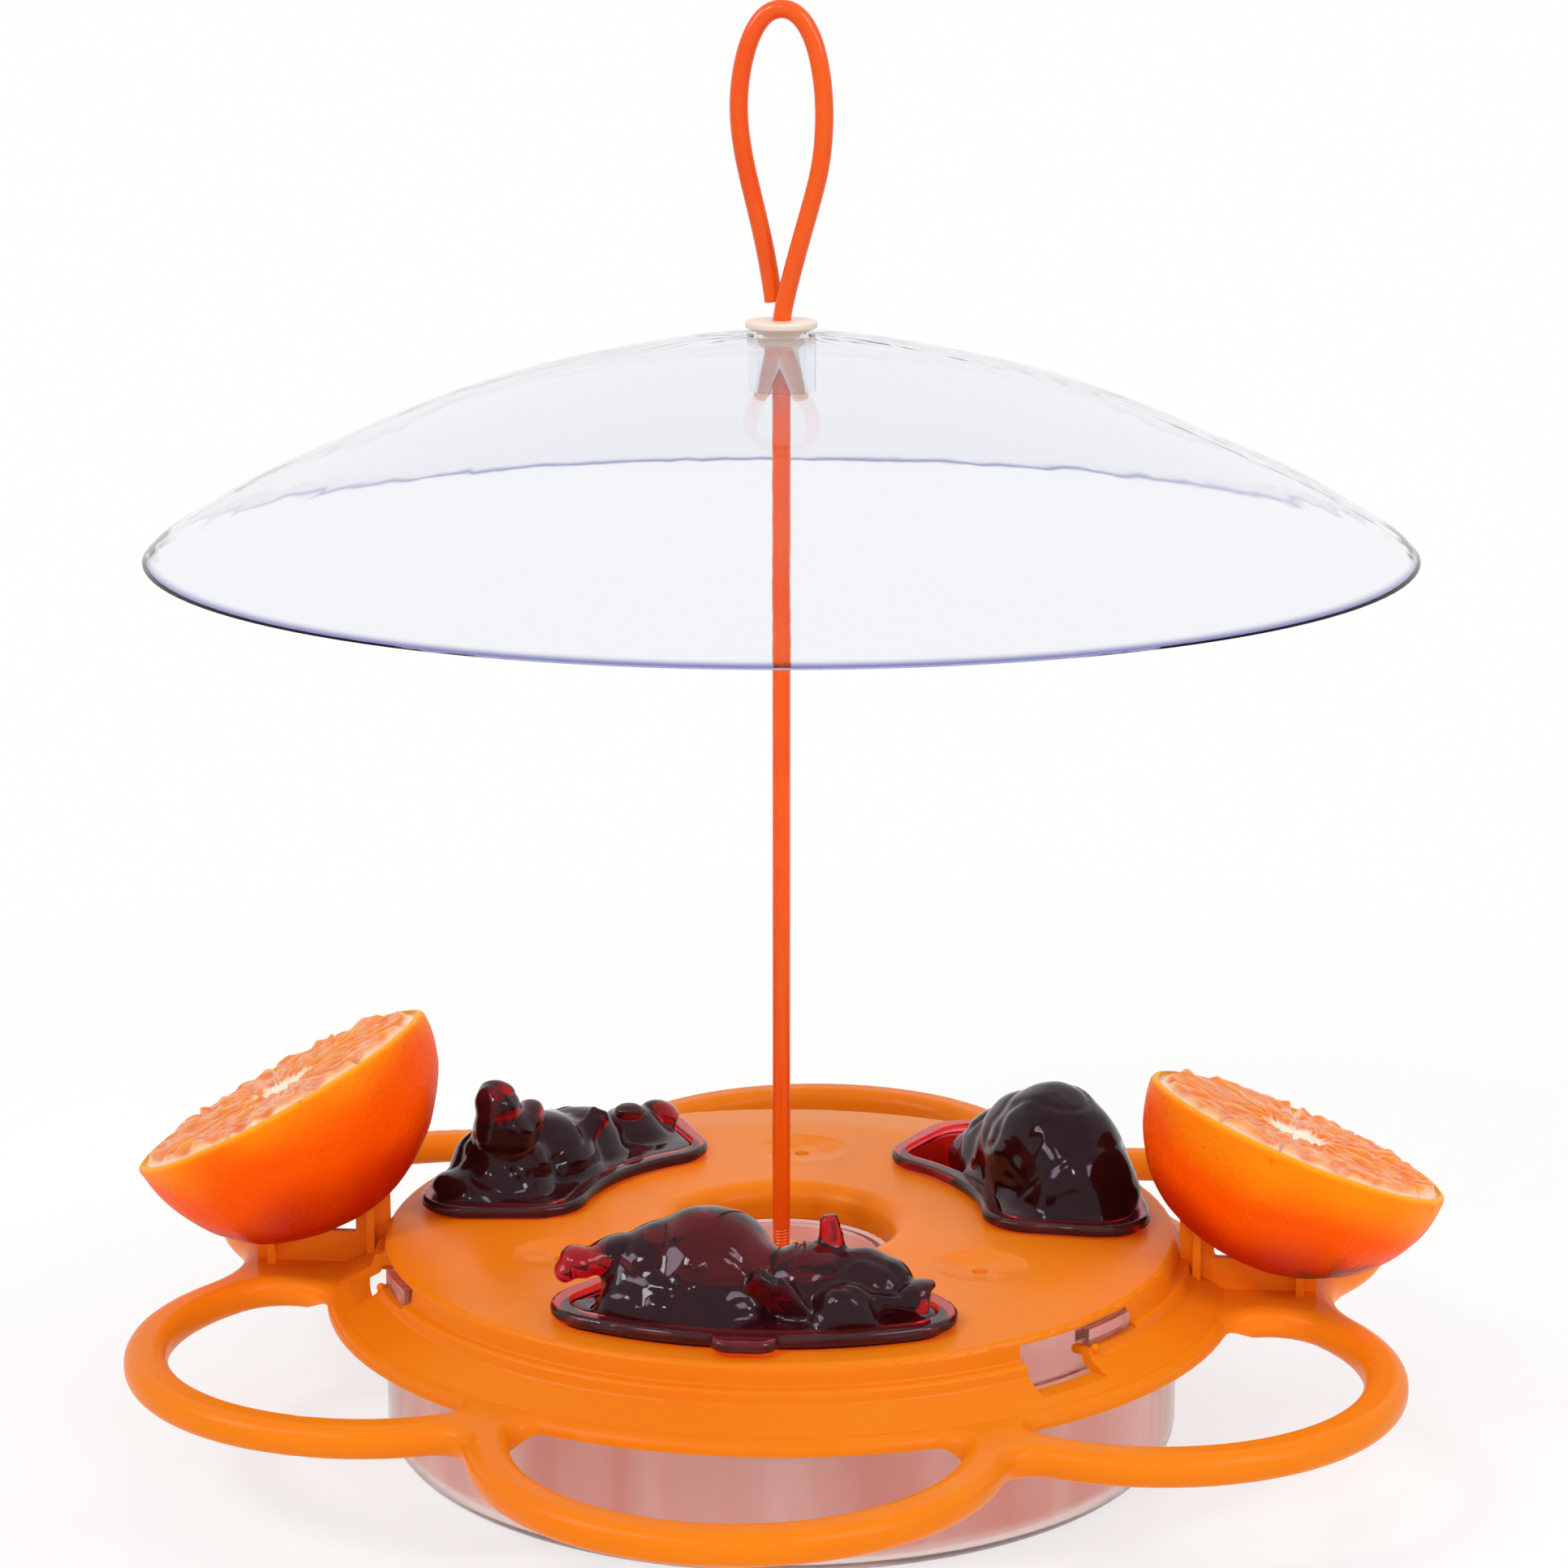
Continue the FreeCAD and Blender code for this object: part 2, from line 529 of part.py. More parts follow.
def make_jelly(place):
    """A spoonful of jelly: it fills its dish and heaps up in lumps."""
    low = PLATE_HEIGHT - DISH_DEPTH + DISH_WALL
    fill_top = PLATE_HEIGHT + SEAT_GAP + DISH_RIM_HEIGHT + JELLY_FILL
    fill = dish_form(DISH_WALL, low, fill_top)
    heap = None
    for outward, along, height, size in JELLY_LUMPS[place]:
        lump = Part.makeSphere(size, Vector(DISH_MIDDLE + outward, along, PLATE_HEIGHT + height))
        heap = lump if heap is None else heap.fuse(lump)
    above = dish_form(-DISH_RIM_WIDTH, fill_top - JELLY_SINK, fill_top + JELLY_CEILING)
    jelly = fill.fuse(heap.common(above))
    return turn(jelly.removeSplitter(), DISH_AZIMUTHS[place])


def make_rod():
    """Straight rod bent over into a teardrop loop that ends behind the rod."""
    bend = GROMMET_TOP + ROD_BEND_RISE
    crown = bend + LOOP_HEIGHT - ROD_RADIUS
    end_side = ROD_RADIUS
    end_back = math.sqrt((2 * ROD_RADIUS + WIRE_END_GAP) ** 2 - end_side ** 2)
    corners = [
        (Vector(0, 0, POST_HEIGHT - ROD_GRIP), 0),
        (Vector(0, 0, bend), ROD_BEND_RADIUS),
        (Vector(LOOP_HALF_WIDTH, 0, bend + LOOP_SIDE_RISE), LOOP_SIDE_RADIUS),
        (Vector(LOOP_CROWN_HALF_WIDTH, 0, crown), LOOP_CROWN_RADIUS),
        (Vector(-LOOP_CROWN_HALF_WIDTH, 0, crown), LOOP_CROWN_RADIUS),
        (Vector(-LOOP_HALF_WIDTH, 0, bend + LOOP_RETURN_RISE), LOOP_SIDE_RADIUS),
        (Vector(-end_side, end_back, bend + WIRE_END_RISE), 0),
    ]
    section = Part.Wire(Part.Circle(corners[0][0], TOP, ROD_RADIUS).toShape())
    return rounded_path(corners).makePipeShell([section], True, True)


def dome_curve(radius, rise):
    """Half of the dome's section: a smooth curve from its rim to its top."""
    points = [Vector(share * radius, 0, DOME_RIM_HEIGHT + height * rise)
              for share, height in DOME_PROFILE]
    curve = Part.BSplineCurve()
    curve.interpolate(points, InitialTangent=Vector(1, 0, 0), FinalTangent=Vector(0.8, 0, -1))
    return curve.toShape(), points


def make_dome():
    """Clear rain dome: a thin shell with a short hub collar."""
    outer, outer_points = dome_curve(DOME_RADIUS, DOME_RISE)
    inner, inner_points = dome_curve(DOME_RADIUS - DOME_WALL, DOME_RISE - DOME_WALL)
    edges = [outer, Part.makeLine(outer_points[-1], inner_points[-1]), inner,
             Part.makeLine(inner_points[0], outer_points[0])]
    shell = Part.Face(Part.Wire(Part.__sortEdges__(edges))).revolve(ORIGIN, TOP, 360)
    dome = shell.fuse(cylinder(HUB_RADIUS, HUB_BOTTOM, DOME_TOP - DOME_WALL / 2))
    return dome.cut(cylinder(HUB_BORE, HUB_BOTTOM - 1, DOME_TOP + 1)).removeSplitter()


def make_grommet():
    """Split grommet: it grips the rod, and its bead carries the dome's hub."""
    bore = ROD_RADIUS + GROMMET_BORE_GAP
    seat = DOME_TOP + SEAT_GAP
    neck = HUB_BORE - HUB_GAP
    bead = HUB_BORE + GROMMET_BEAD_REACH
    bead_top = HUB_BOTTOM - SEAT_GAP
    waist = DOME_TOP - GROMMET_WAIST_DEPTH
    bottom = bead_top - GROMMET_BEAD_HEIGHT
    grommet = turned([
        (bore, GROMMET_TOP, 0.3), (GROMMET_RADIUS, GROMMET_TOP, 0.7),
        (GROMMET_RADIUS, seat + 1.0, 0.3), (neck + 1.0, seat, 0), (neck, seat, 0),
        (neck, waist + 1.6, 0.3), (GROMMET_WAIST_RADIUS, waist, 0.4), (neck, bead_top + 0.6, 0),
        (neck, bead_top, 0), (bead, bead_top, 0.3), (bead, bottom, 0.8),
        (bead - GROMMET_WALL, bottom, 0.4), (bore, waist - 1.5, 0),
    ])
    half = GROMMET_SLOT_WIDTH / 2
    corners = [Vector(-half, -GROMMET_RADIUS, bottom - 0.01), Vector(half, -GROMMET_RADIUS, bottom - 0.01),
               Vector(0, -GROMMET_RADIUS, bottom + GROMMET_SLOT_HEIGHT)]
    slot = Part.Face(Part.makePolygon(corners + corners[:1])).extrude(Vector(0, 2 * GROMMET_RADIUS, 0))
    return grommet.cut(slot)


def make_fruit(place):
    """Half an orange, cut side up, tipped outward and pushed onto its bracket."""
    fruit = FRUIT[place]
    radius, depth, reach = fruit["radius"], fruit["depth"], FRUIT_ROUNDNESS
    peel = Part.BezierCurve()
    peel.setPoles([Vector(radius, 0, 0), Vector(radius, 0, -reach * depth),
                   Vector(reach * radius, 0, -depth), Vector(0, 0, -depth)])
    outline = Part.Wire([Part.makeLine(ORIGIN, Vector(radius, 0, 0)), peel.toShape(),
                         Part.makeLine(Vector(0, 0, -depth), ORIGIN)])
    half = Part.Face(outline).revolve(ORIGIN, TOP, 360)
    rim = [edge for edge in half.Edges if edge.BoundBox.ZLength < 1e-6 and edge.Length > 1]
    half = half.makeFillet(FRUIT_EDGE, rim)
    half.rotate(ORIGIN, Vector(1, 0, 0), fruit["lean"])
    half.rotate(ORIGIN, Vector(0, 1, 0), fruit["tilt"])
    half.translate(Vector((SPIKE_INNER + SPIKE_OUTER) / 2 + fruit["shift"], 0,
                          PERCH_TOP + fruit["height"]))
    return turn(half.cut(make_bracket(SPIKE_HOLE_GAP)), BRACKET_AZIMUTHS[place])


def main():
    """Build every piece and write one STEP file for each."""
    pieces = {
        "nectar_bowl": make_bowl(),
        "rod_insert": make_insert(),
        "feeder_lid": make_lid(),
        "hanger_rod": make_rod(),
        "dome_guard": make_dome(),
        "dome_grommet": make_grommet(),
    }
    for place, azimuth in DISH_AZIMUTHS.items():
        pieces["jelly_dish_" + place] = turn(make_dish(), azimuth)
        pieces["jelly_" + place] = make_jelly(place)
    for place in FRUIT:
        pieces["orange_half_" + place] = make_fruit(place)
    os.makedirs("parts", exist_ok=True)
    for name, shape in pieces.items():
        solid = shape.Solids[0] if len(shape.Solids) == 1 else shape
        solid.exportStep(os.path.join("parts", name + ".step"))
        print(name, "solids", len(shape.Solids), "valid", solid.isValid(),
              "volume", round(solid.Volume), "faces", len(solid.Faces))


if __name__ == "__main__":
    main()
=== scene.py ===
import math

import bmesh
import bpy
from mathutils import Matrix, Vector, noise


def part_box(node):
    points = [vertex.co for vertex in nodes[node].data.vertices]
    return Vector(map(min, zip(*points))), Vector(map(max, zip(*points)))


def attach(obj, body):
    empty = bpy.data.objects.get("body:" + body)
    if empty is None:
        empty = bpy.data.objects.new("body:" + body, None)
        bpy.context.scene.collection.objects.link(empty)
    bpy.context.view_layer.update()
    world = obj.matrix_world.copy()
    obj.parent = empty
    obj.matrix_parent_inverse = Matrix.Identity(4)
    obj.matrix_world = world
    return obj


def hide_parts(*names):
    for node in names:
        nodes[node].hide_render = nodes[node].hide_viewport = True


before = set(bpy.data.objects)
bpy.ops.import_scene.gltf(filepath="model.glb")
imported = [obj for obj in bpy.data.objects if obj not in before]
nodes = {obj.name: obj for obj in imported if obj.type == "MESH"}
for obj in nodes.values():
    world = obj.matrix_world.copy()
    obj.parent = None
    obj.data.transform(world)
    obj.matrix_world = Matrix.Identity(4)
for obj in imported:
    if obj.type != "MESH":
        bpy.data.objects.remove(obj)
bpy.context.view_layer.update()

scene = bpy.context.scene
mm = 0.001
plateTop = 53.4        # heights of the lid's flat top and of its perch, in mm
perchTop = 39.3
print("frame loaded,", len(nodes), "solids")


# small helpers

def addMesh(name, points, faces):
    # points in mm
    mesh = bpy.data.meshes.new(name)
    mesh.from_pydata([Vector(p) * mm for p in points], [], faces)
    mesh.update()
    mesh.shade_smooth()
    piece = bpy.data.objects.new(name, mesh)
    scene.collection.objects.link(piece)
    return piece


def keepShape(piece):
    # swap the modifiers for the mesh that they make
    bpy.context.view_layer.update()
    graph = bpy.context.evaluated_depsgraph_get()
    made = bpy.data.meshes.new_from_object(piece.evaluated_get(graph))
    piece.modifiers.clear()
    piece.data = made
    made.shade_smooth()


def colour(red, green, blue):
    # 0-255 as seen on screen, to the linear values that a shader wants
    def linear(v):
        v = v / 255
        return v / 12.92 if v <= 0.04045 else ((v + 0.055) / 1.055) ** 2.4
    return (linear(red), linear(green), linear(blue), 1.0)


def smoothStep(low, high, value):
    t = min(max((value - low) / (high - low), 0.0), 1.0)
    return t * t * (3 - 2 * t)


def mixColour(first, second, share):
    return tuple(a + (b - a) * share for a, b in zip(first, second))


def paintPoints(piece, tints):
    # one colour for each point of the mesh, for a shader to read
    attribute = piece.data.color_attributes.new("skin", "FLOAT_COLOR", "POINT")
    flat = [channel for tint in tints for channel in tint]
    attribute.data.foreach_set("color", flat)


def dress(piece, *finishes):
    piece.data.materials.clear()
    for finish in finishes:
        piece.data.materials.append(finish)


# materials

def newFinish(name, settings):
    # a material with these settings, its node tree and its shader
    finish = bpy.data.materials.new(name)
    finish.use_nodes = True
    shader = finish.node_tree.nodes["Principled BSDF"]
    for socket, value in settings.items():
        shader.inputs[socket].default_value = value
    return finish, finish.node_tree, shader


def addNode(tree, kind, settings=None, inputs=None):
    node = tree.nodes.new(kind)
    for key, value in (settings or {}).items():
        setattr(node, key, value)
    for key, value in (inputs or {}).items():
        node.inputs[key].default_value = value
    return node


def objectCoords(tree):
    return addNode(tree, "ShaderNodeTexCoord").outputs["Object"]


def grain(tree, coords, scale, detail=2.0, rough=0.5):
    texture = addNode(tree, "ShaderNodeTexNoise",
                      inputs={"Scale": scale, "Detail": detail, "Roughness": rough})
    tree.links.new(coords, texture.inputs["Vector"])
    return texture.outputs["Fac"]


def addBump(tree, shader, height, strength, distance):
    bump = addNode(tree, "ShaderNodeBump", inputs={"Strength": strength, "Distance": distance})
    tree.links.new(height, bump.inputs["Height"])
    tree.links.new(bump.outputs["Normal"], shader.inputs["Normal"])


def ramp(tree, factor, stops):
    node = addNode(tree, "ShaderNodeValToRGB")
    bar = node.color_ramp
    while len(bar.elements) < len(stops):
        bar.elements.new(0.5)
    for element, (place, tint) in zip(bar.elements, stops):
        element.position = place
        element.color = tint
    tree.links.new(factor, node.inputs["Fac"])
    return node.outputs["Color"]


def smoothRange(tree, value, low, high):
    # 0 at low and 1 at high, with soft ends
    node = addNode(tree, "ShaderNodeMapRange", {"interpolation_type": "SMOOTHSTEP"},
                   {"From Min": low, "From Max": high})
    tree.links.new(value, node.inputs["Value"])
    return node.outputs["Result"]


def blendTint(tree, share, first, second):
    # a node's colour that gives way to a plain one
    blend = addNode(tree, "ShaderNodeMix", {"data_type": "RGBA"}, {7: second})
    tree.links.new(share, blend.inputs[0])
    tree.links.new(first, blend.inputs[6])
    return blend.outputs[2]


lidLook = {
    "orange": colour(238, 130, 18),
    "warmOrange": colour(236, 120, 12),
    # painted light: a brighter orange for the brackets, which lie in the orange halves' shade
    "bracketLitOrange": colour(255, 136, 22),
    "bracketReach": (0.085, 0.115),      # metres out from the rod, where the painted light at the brackets comes in
    "bracketSide": (0.045, 0.015),       # and to the side of the brackets
    "roughness": (0.24, 0.36),
    "gloss": 0.08,
    "grainScale": 900,
}


def mouldedOrange():
    look = lidLook
    finish, tree, shader = newFinish("moulded_orange", {
        "IOR": 1.49, "Specular IOR Level": look["gloss"],
        "Subsurface Weight": 0.12, "Subsurface Radius": (1.0, 0.35, 0.05), "Subsurface Scale": 0.004,
    })
    coords = objectCoords(tree)
    body = ramp(tree, grain(tree, coords, 14, 3), [(0.3, look["warmOrange"]), (0.7, look["orange"])])
    # painted light: the plastic is coloured brighter at the two brackets, where it looks redder, to stand
    # in for light glowing through it and to make up for the shade under the orange halves
    split = addNode(tree, "ShaderNodeSeparateXYZ")
    tree.links.new(coords, split.inputs["Vector"])
    reach = addNode(tree, "ShaderNodeMath", {"operation": "ABSOLUTE"})
    tree.links.new(split.outputs["X"], reach.inputs[0])
    side = addNode(tree, "ShaderNodeMath", {"operation": "ABSOLUTE"})
    tree.links.new(split.outputs["Y"], side.inputs[0])
    both = addNode(tree, "ShaderNodeMath", {"operation": "MULTIPLY"})
    tree.links.new(smoothRange(tree, reach.outputs[0], *look["bracketReach"]), both.inputs[0])
    tree.links.new(smoothRange(tree, side.outputs[0], *look["bracketSide"]), both.inputs[1])
    tint = blendTint(tree, both.outputs[0], body, look["bracketLitOrange"])
    tree.links.new(tint, shader.inputs["Base Color"])
    smooth, dull = look["roughness"]
    rough = addNode(tree, "ShaderNodeMapRange", inputs={"To Min": smooth, "To Max": dull})
    tree.links.new(grain(tree, coords, 60, 4), rough.inputs["Value"])
    tree.links.new(rough.outputs["Result"], shader.inputs["Roughness"])
    addBump(tree, shader, grain(tree, coords, look["grainScale"], 3), 0.12, 0.0002)
    return finish


wireLook = {
    "deep": colour(234, 74, 6),
    "bright": colour(240, 94, 10),
}


def coatedWire():
    look = wireLook
    finish, tree, shader = newFinish("coated_wire", {
        "Roughness": 0.2, "IOR": 1.5, "Specular IOR Level": 0.2,
        "Coat Weight": 0.08, "Coat Roughness": 0.08,
    })
    coords = objectCoords(tree)
    body = ramp(tree, grain(tree, coords, 30, 3), [(0.3, look["deep"]), (0.7, look["bright"])])
    tree.links.new(body, shader.inputs["Base Color"])
    addBump(tree, shader, grain(tree, coords, 350, 2), 0.15, 0.0003)
    return finish


domeLook = {
    "wall": (0.905, 0.918, 0.948, 1.0),
    "rim": (0.20, 0.20, 0.48, 1.0),
    "rimBand": (0.2, 1.6),     # mm over the edge where its tint fades
}


def clearDome():
    look = domeLook
    finish, tree, shader = newFinish("clear_dome", {
        "Roughness": 0.03, "IOR": 1.18, "Transmission Weight": 1.0,
    })
    coords = objectCoords(tree)
    split = addNode(tree, "ShaderNodeSeparateXYZ")
    tree.links.new(coords, split.inputs["Vector"])
    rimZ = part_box("dome_guard")[0].z
    low, high = look["rimBand"]
    edge = smoothRange(tree, split.outputs["Z"], rimZ + low * mm, rimZ + high * mm)
    tint = ramp(tree, edge, [(0.0, look["rim"]), (1.0, look["wall"])])
    tree.links.new(tint, shader.inputs["Base Color"])
    addBump(tree, shader, grain(tree, coords, 22, 3), 0.015, 0.002)
    return finish


bowlLook = {
    "deep": (0.87, 0.44, 0.38, 1.0),
    "pale": (0.99, 0.74, 0.69, 1.0),
    # painted light: a paler band at the foot, where light catches the rounded bottom edge
    "foot": (1.0, 0.86, 0.84, 1.0),
    "footLightBand": (0.008, 0.003),          # metres over the floor
    "stretch": (1.0, 1.0, 0.12),         # draws the grain out into upright streaks
}


def pinkBowl():
    look = bowlLook
    finish, tree, shader = newFinish("pink_bowl", {
        "Roughness": 0.16, "IOR": 1.3, "Transmission Weight": 0.92,
    })
    coords = objectCoords(tree)
    stretch = addNode(tree, "ShaderNodeMapping", inputs={"Scale": look["stretch"]})
    tree.links.new(coords, stretch.inputs["Vector"])
    streaks = grain(tree, stretch.outputs["Vector"], 42, 3)
    body = ramp(tree, streaks, [(0.38, look["deep"]), (0.7, look["pale"])])
    split = addNode(tree, "ShaderNodeSeparateXYZ")
    tree.links.new(coords, split.inputs["Vector"])
    # painted light: the bowl is coloured paler at its foot, for light caught in the rounded bottom edge
    foot = smoothRange(tree, split.outputs["Z"], *look["footLightBand"])
    tree.links.new(blendTint(tree, foot, body, look["foot"]), shader.inputs["Base Color"])
    addBump(tree, shader, grain(tree, stretch.outputs["Vector"], 120, 3), 0.2, 0.0004)
    return finish


def darkenInside(tree, tint, density):
    # the thicker it is, the darker it looks
    absorb = addNode(tree, "ShaderNodeVolumeAbsorption", inputs={"Color": tint, "Density": density})
    tree.links.new(absorb.outputs["Volume"], tree.nodes["Material Output"].inputs["Volume"])


dishLook = {
    "skin": (1.0, 0.42, 0.48, 1.0),
    "body": (0.93, 0.30, 0.42, 1.0),
    "density": 420.0,
}


def wineDish():
    look = dishLook
    finish, tree, shader = newFinish("wine_dish", {
        "Base Color": look["skin"], "Roughness": 0.04, "IOR": 1.3, "Transmission Weight": 0.98,
    })
    darkenInside(tree, look["body"], look["density"])
    addBump(tree, shader, grain(tree, objectCoords(tree), 90, 2), 0.1, 0.0005)
    return finish


gelLook = {
    "skin": (0.9, 0.2, 0.25, 1.0),
    "body": (0.86, 0.14, 0.27, 1.0),
    "density": 600.0,
    "shine": (0.93, 0.9, 1.0, 1.0),
}


def grapeGel():
    look = gelLook
    finish, tree, shader = newFinish("grape_gel", {
        "Base Color": look["skin"], "Roughness": 0.04, "IOR": 1.28, "Transmission Weight": 0.98,
        "Specular Tint": look["shine"],
    })
    darkenInside(tree, look["body"], look["density"])
    addBump(tree, shader, grain(tree, objectCoords(tree), 60, 1.5), 0.3, 0.0025)
    return finish


def milkyGrommet():
    finish, tree, shader = newFinish("milky_grommet", {
        "Base Color": colour(255, 233, 218), "Roughness": 0.38, "IOR": 1.45,
        "Transmission Weight": 0.15, "Subsurface Weight": 0.5,
        "Subsurface Radius": (1.0, 0.7, 0.5), "Subsurface Scale": 0.003,
    })
    addBump(tree, shader, grain(tree, objectCoords(tree), 500, 2), 0.15, 0.0003)
    return finish


def turnedBrass():
    finish, tree, shader = newFinish("turned_brass", {
        "Base Color": colour(205, 160, 84), "Metallic": 1.0, "Roughness": 0.32,
    })
    addBump(tree, shader, grain(tree, objectCoords(tree), 1200, 2), 0.2, 0.0002)
    return finish


def usePaint(tree, shader):
    # the colours that paintPoints gives the mesh
    skin = addNode(tree, "ShaderNodeVertexColor", {"layer_name": "skin"})
    tree.links.new(skin.outputs["Color"], shader.inputs["Base Color"])


def rindFinish():
    finish, tree, shader = newFinish("orange_rind", {
        "Roughness": 0.4, "IOR": 1.45, "Specular IOR Level": 0.06, "Subsurface Weight": 0.1,
        "Subsurface Radius": (1.0, 0.3, 0.02), "Subsurface Scale": 0.003,
    })
    usePaint(tree, shader)
    pores = addNode(tree, "ShaderNodeTexVoronoi", {"feature": "F1"}, {"Scale": 620.0})
    tree.links.new(objectCoords(tree), pores.inputs["Vector"])
    addBump(tree, shader, pores.outputs["Distance"], 0.35, 0.0006)
    return finish


def fleshFinish():
    finish, tree, shader = newFinish("orange_flesh", {
        "Roughness": 0.26, "IOR": 1.36, "Specular IOR Level": 0.3, "Subsurface Weight": 0.3,
        "Subsurface Radius": (1.0, 0.4, 0.1), "Subsurface Scale": 0.003, "Coat Weight": 0.15,
        "Coat Roughness": 0.1,
    })
    usePaint(tree, shader)
    addBump(tree, shader, grain(tree, objectCoords(tree), 420, 2), 0.25, 0.0005)
    return finish


finishes = {
    "lid": mouldedOrange(),
    "wire": coatedWire(),
    "dome": clearDome(),
    "bowl": pinkBowl(),
    "dish": wineDish(),
    "gel": grapeGel(),
    "grommet": milkyGrommet(),
    "brass": turnedBrass(),
    "rind": rindFinish(),
    "flesh": fleshFinish(),
}
print("finishes ready:", len(finishes))


# rigid mouldings keep their solids

dress(nodes["feeder_lid"], finishes["lid"])
dress(nodes["nectar_bowl"], finishes["bowl"])
dress(nodes["rod_insert"], finishes["brass"])
dress(nodes["dome_guard"], finishes["dome"])
dress(nodes["dome_grommet"], finishes["grommet"])
for place in ("front", "left", "right"):
    dress(nodes["jelly_dish_" + place], finishes["dish"])
print("mouldings dressed")


# feeding ports: shallow dimples with faint petals round a small hole

portSpec = {
    "azimuths": (90.0, 210.0, 330.0),
    "offset": 59.0,
    "radius": 11.8,
    "cover": 13.2,             # how far the face reaches over the plate
    "depth": 1.5,
    "hole": 2.0,
    "holeLip": 0.2,
    "holeDepth": 2.6,
    "petals": 5,
    "petalDepth": 0.16,
    "lift": 0.02,
    "around": 96,
    "rings": 35,
}


def buildPort(name, azimuth):
    spec = portSpec
    around = spec["around"]
    stride = (spec["cover"] - spec["hole"]) / (spec["rings"] - 1)
    reaches = [spec["hole"] * 0.9, spec["hole"] * 0.9, spec["hole"]]
    reaches += [spec["hole"] + 0.25 + stride * step for step in range(spec["rings"])]
    turned = math.radians(azimuth)
    centre = Vector((math.cos(turned), math.sin(turned), 0)) * spec["offset"]
    points = []
    for ring, reach in enumerate(reaches):
        for index in range(around):
            angle = 2 * math.pi * index / around
            bowl = max(1 - (reach / spec["radius"]) ** 2, 0)
            petal = math.cos(spec["petals"] * angle)
            petal *= smoothStep(3, 6.5, reach) * smoothStep(11, 8, reach)
            height = plateTop + spec["lift"] - spec["depth"] * bowl - spec["petalDepth"] * petal
            if ring == 0:
                height -= spec["holeDepth"]
            if ring == 1:
                height -= spec["holeLip"]
            direction = Vector((math.cos(angle), math.sin(angle), 0))
            points.append(centre + direction * reach + Vector((0, 0, height)))
    faces = []
    for ring in range(len(reaches) - 1):
        for index in range(around):
            following = (index + 1) % around
            low, high = ring * around, (ring + 1) * around
            faces.append((low + index, high + index, high + following, low + following))
    faces.append(tuple(range(around)))
    port = addMesh(name, points, faces)
    dress(port, finishes["lid"])
    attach(port, "lid")


for number, azimuth in enumerate(portSpec["azimuths"]):
    buildPort("port_face_" + str(number + 1), azimuth)
print("feeding ports softened")


# hanger rod: one bent wire with a fine thread at its foot

rodSpec = {
    "radius": 2.2,
    "foot": 34.8,
    "straightTop": 277.0,
    "loop": [(0.2, 0, 280.0), (1.9, 0, 287.4), (5.9, 0, 302.0), (9.3, 0, 313.5), (10.3, 0, 324.0),
             (10.0, 0, 334.0), (7.8, 0, 345.0), (3.2, 0.3, 351.6), (-3.2, 0.6, 351.6), (-7.8, 1.0, 345.0),
             (-10.3, 1.4, 334.0), (-10.4, 1.9, 324.0), (-8.6, 2.6, 313.5), (-5.7, 3.4, 302.0),
             (-3.4, 4.2, 291.0), (-2.3, 4.6, 282.4)],
    "threadTop": 52.4,
    "threadPitch": 0.8,
    "threadDepth": 0.28,
    "threadRunOut": 1.2,
}


def buildRod():
    spec = rodSpec
    path = bpy.data.curves.new("hanger_wire", "CURVE")
    path.dimensions = "3D"
    path.bevel_depth = spec["radius"] * mm
    path.bevel_resolution = 12
    path.resolution_u = 14
    path.use_fill_caps = True
    span = spec["straightTop"] - spec["threadTop"]
    points = [(0, 0, spec["threadTop"]), (0, 0, spec["threadTop"] + span * 0.34),
              (0, 0, spec["threadTop"] + span * 0.67), (0, 0, spec["straightTop"] - 3),
              (0, 0, spec["straightTop"])] + spec["loop"]
    line = path.splines.new("NURBS")
    line.points.add(len(points) - 1)
    for target, point in zip(line.points, points):
        target.co = (*(Vector(point) * mm), 1.0)
    line.order_u = 4
    line.use_endpoint_u = True
    wire = bpy.data.objects.new("hanger_wire", path)
    scene.collection.objects.link(wire)
    graph = bpy.context.evaluated_depsgraph_get()
    made = bpy.data.meshes.new_from_object(wire.evaluated_get(graph))
    bpy.data.objects.remove(wire)
    wire = bpy.data.objects.new("hanger_wire", made)
    scene.collection.objects.link(wire)
    made.shade_smooth()
    dress(wire, finishes["wire"])
    return wire


def buildThread():
    # a turned foot whose radius rises and falls along a helix
    spec = rodSpec
    around = 32
    step = spec["threadPitch"] / 8
    rows = int((spec["threadTop"] - spec["foot"]) / step) + 1
    points = []
    for row in range(rows):
        height = spec["foot"] + row * step
        for index in range(around):
            angle = 2 * math.pi * index / around
            phase = (height / spec["threadPitch"] - index / around) % 1.0
            valley = 1 - abs(2 * phase - 1)
            runOut = smoothStep(spec["threadTop"], spec["threadTop"] - spec["threadRunOut"], height)
            radius = spec["radius"] - 0.01 - spec["threadDepth"] * valley * runOut
            points.append((radius * math.cos(angle), radius * math.sin(angle), height))
    faces = []
    for row in range(rows - 1):
        for index in range(around):
            following = (index + 1) % around
            low, high = row * around, (row + 1) * around
            faces.append((low + index, low + following, high + following, high + index))
    faces.append(tuple(reversed(range(around))))
    faces.append(tuple((rows - 1) * around + index for index in range(around)))
    thread = addMesh("hanger_thread", points, faces)
    dress(thread, finishes["wire"])
    return thread


wire = buildRod()
thread = buildThread()
thread.parent = wire
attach(wire, "rod")
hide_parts("hanger_rod")
print("hanger rod bent and threaded")


# jelly heaps

cupSpec = {
    "inner": 54.0,
    "outer": 88.0,
    "halfAngle": 32.5,
    "corner": 9.4,
    "floor": 43.5 - plateTop,
    "rimTop": 3.3,
}


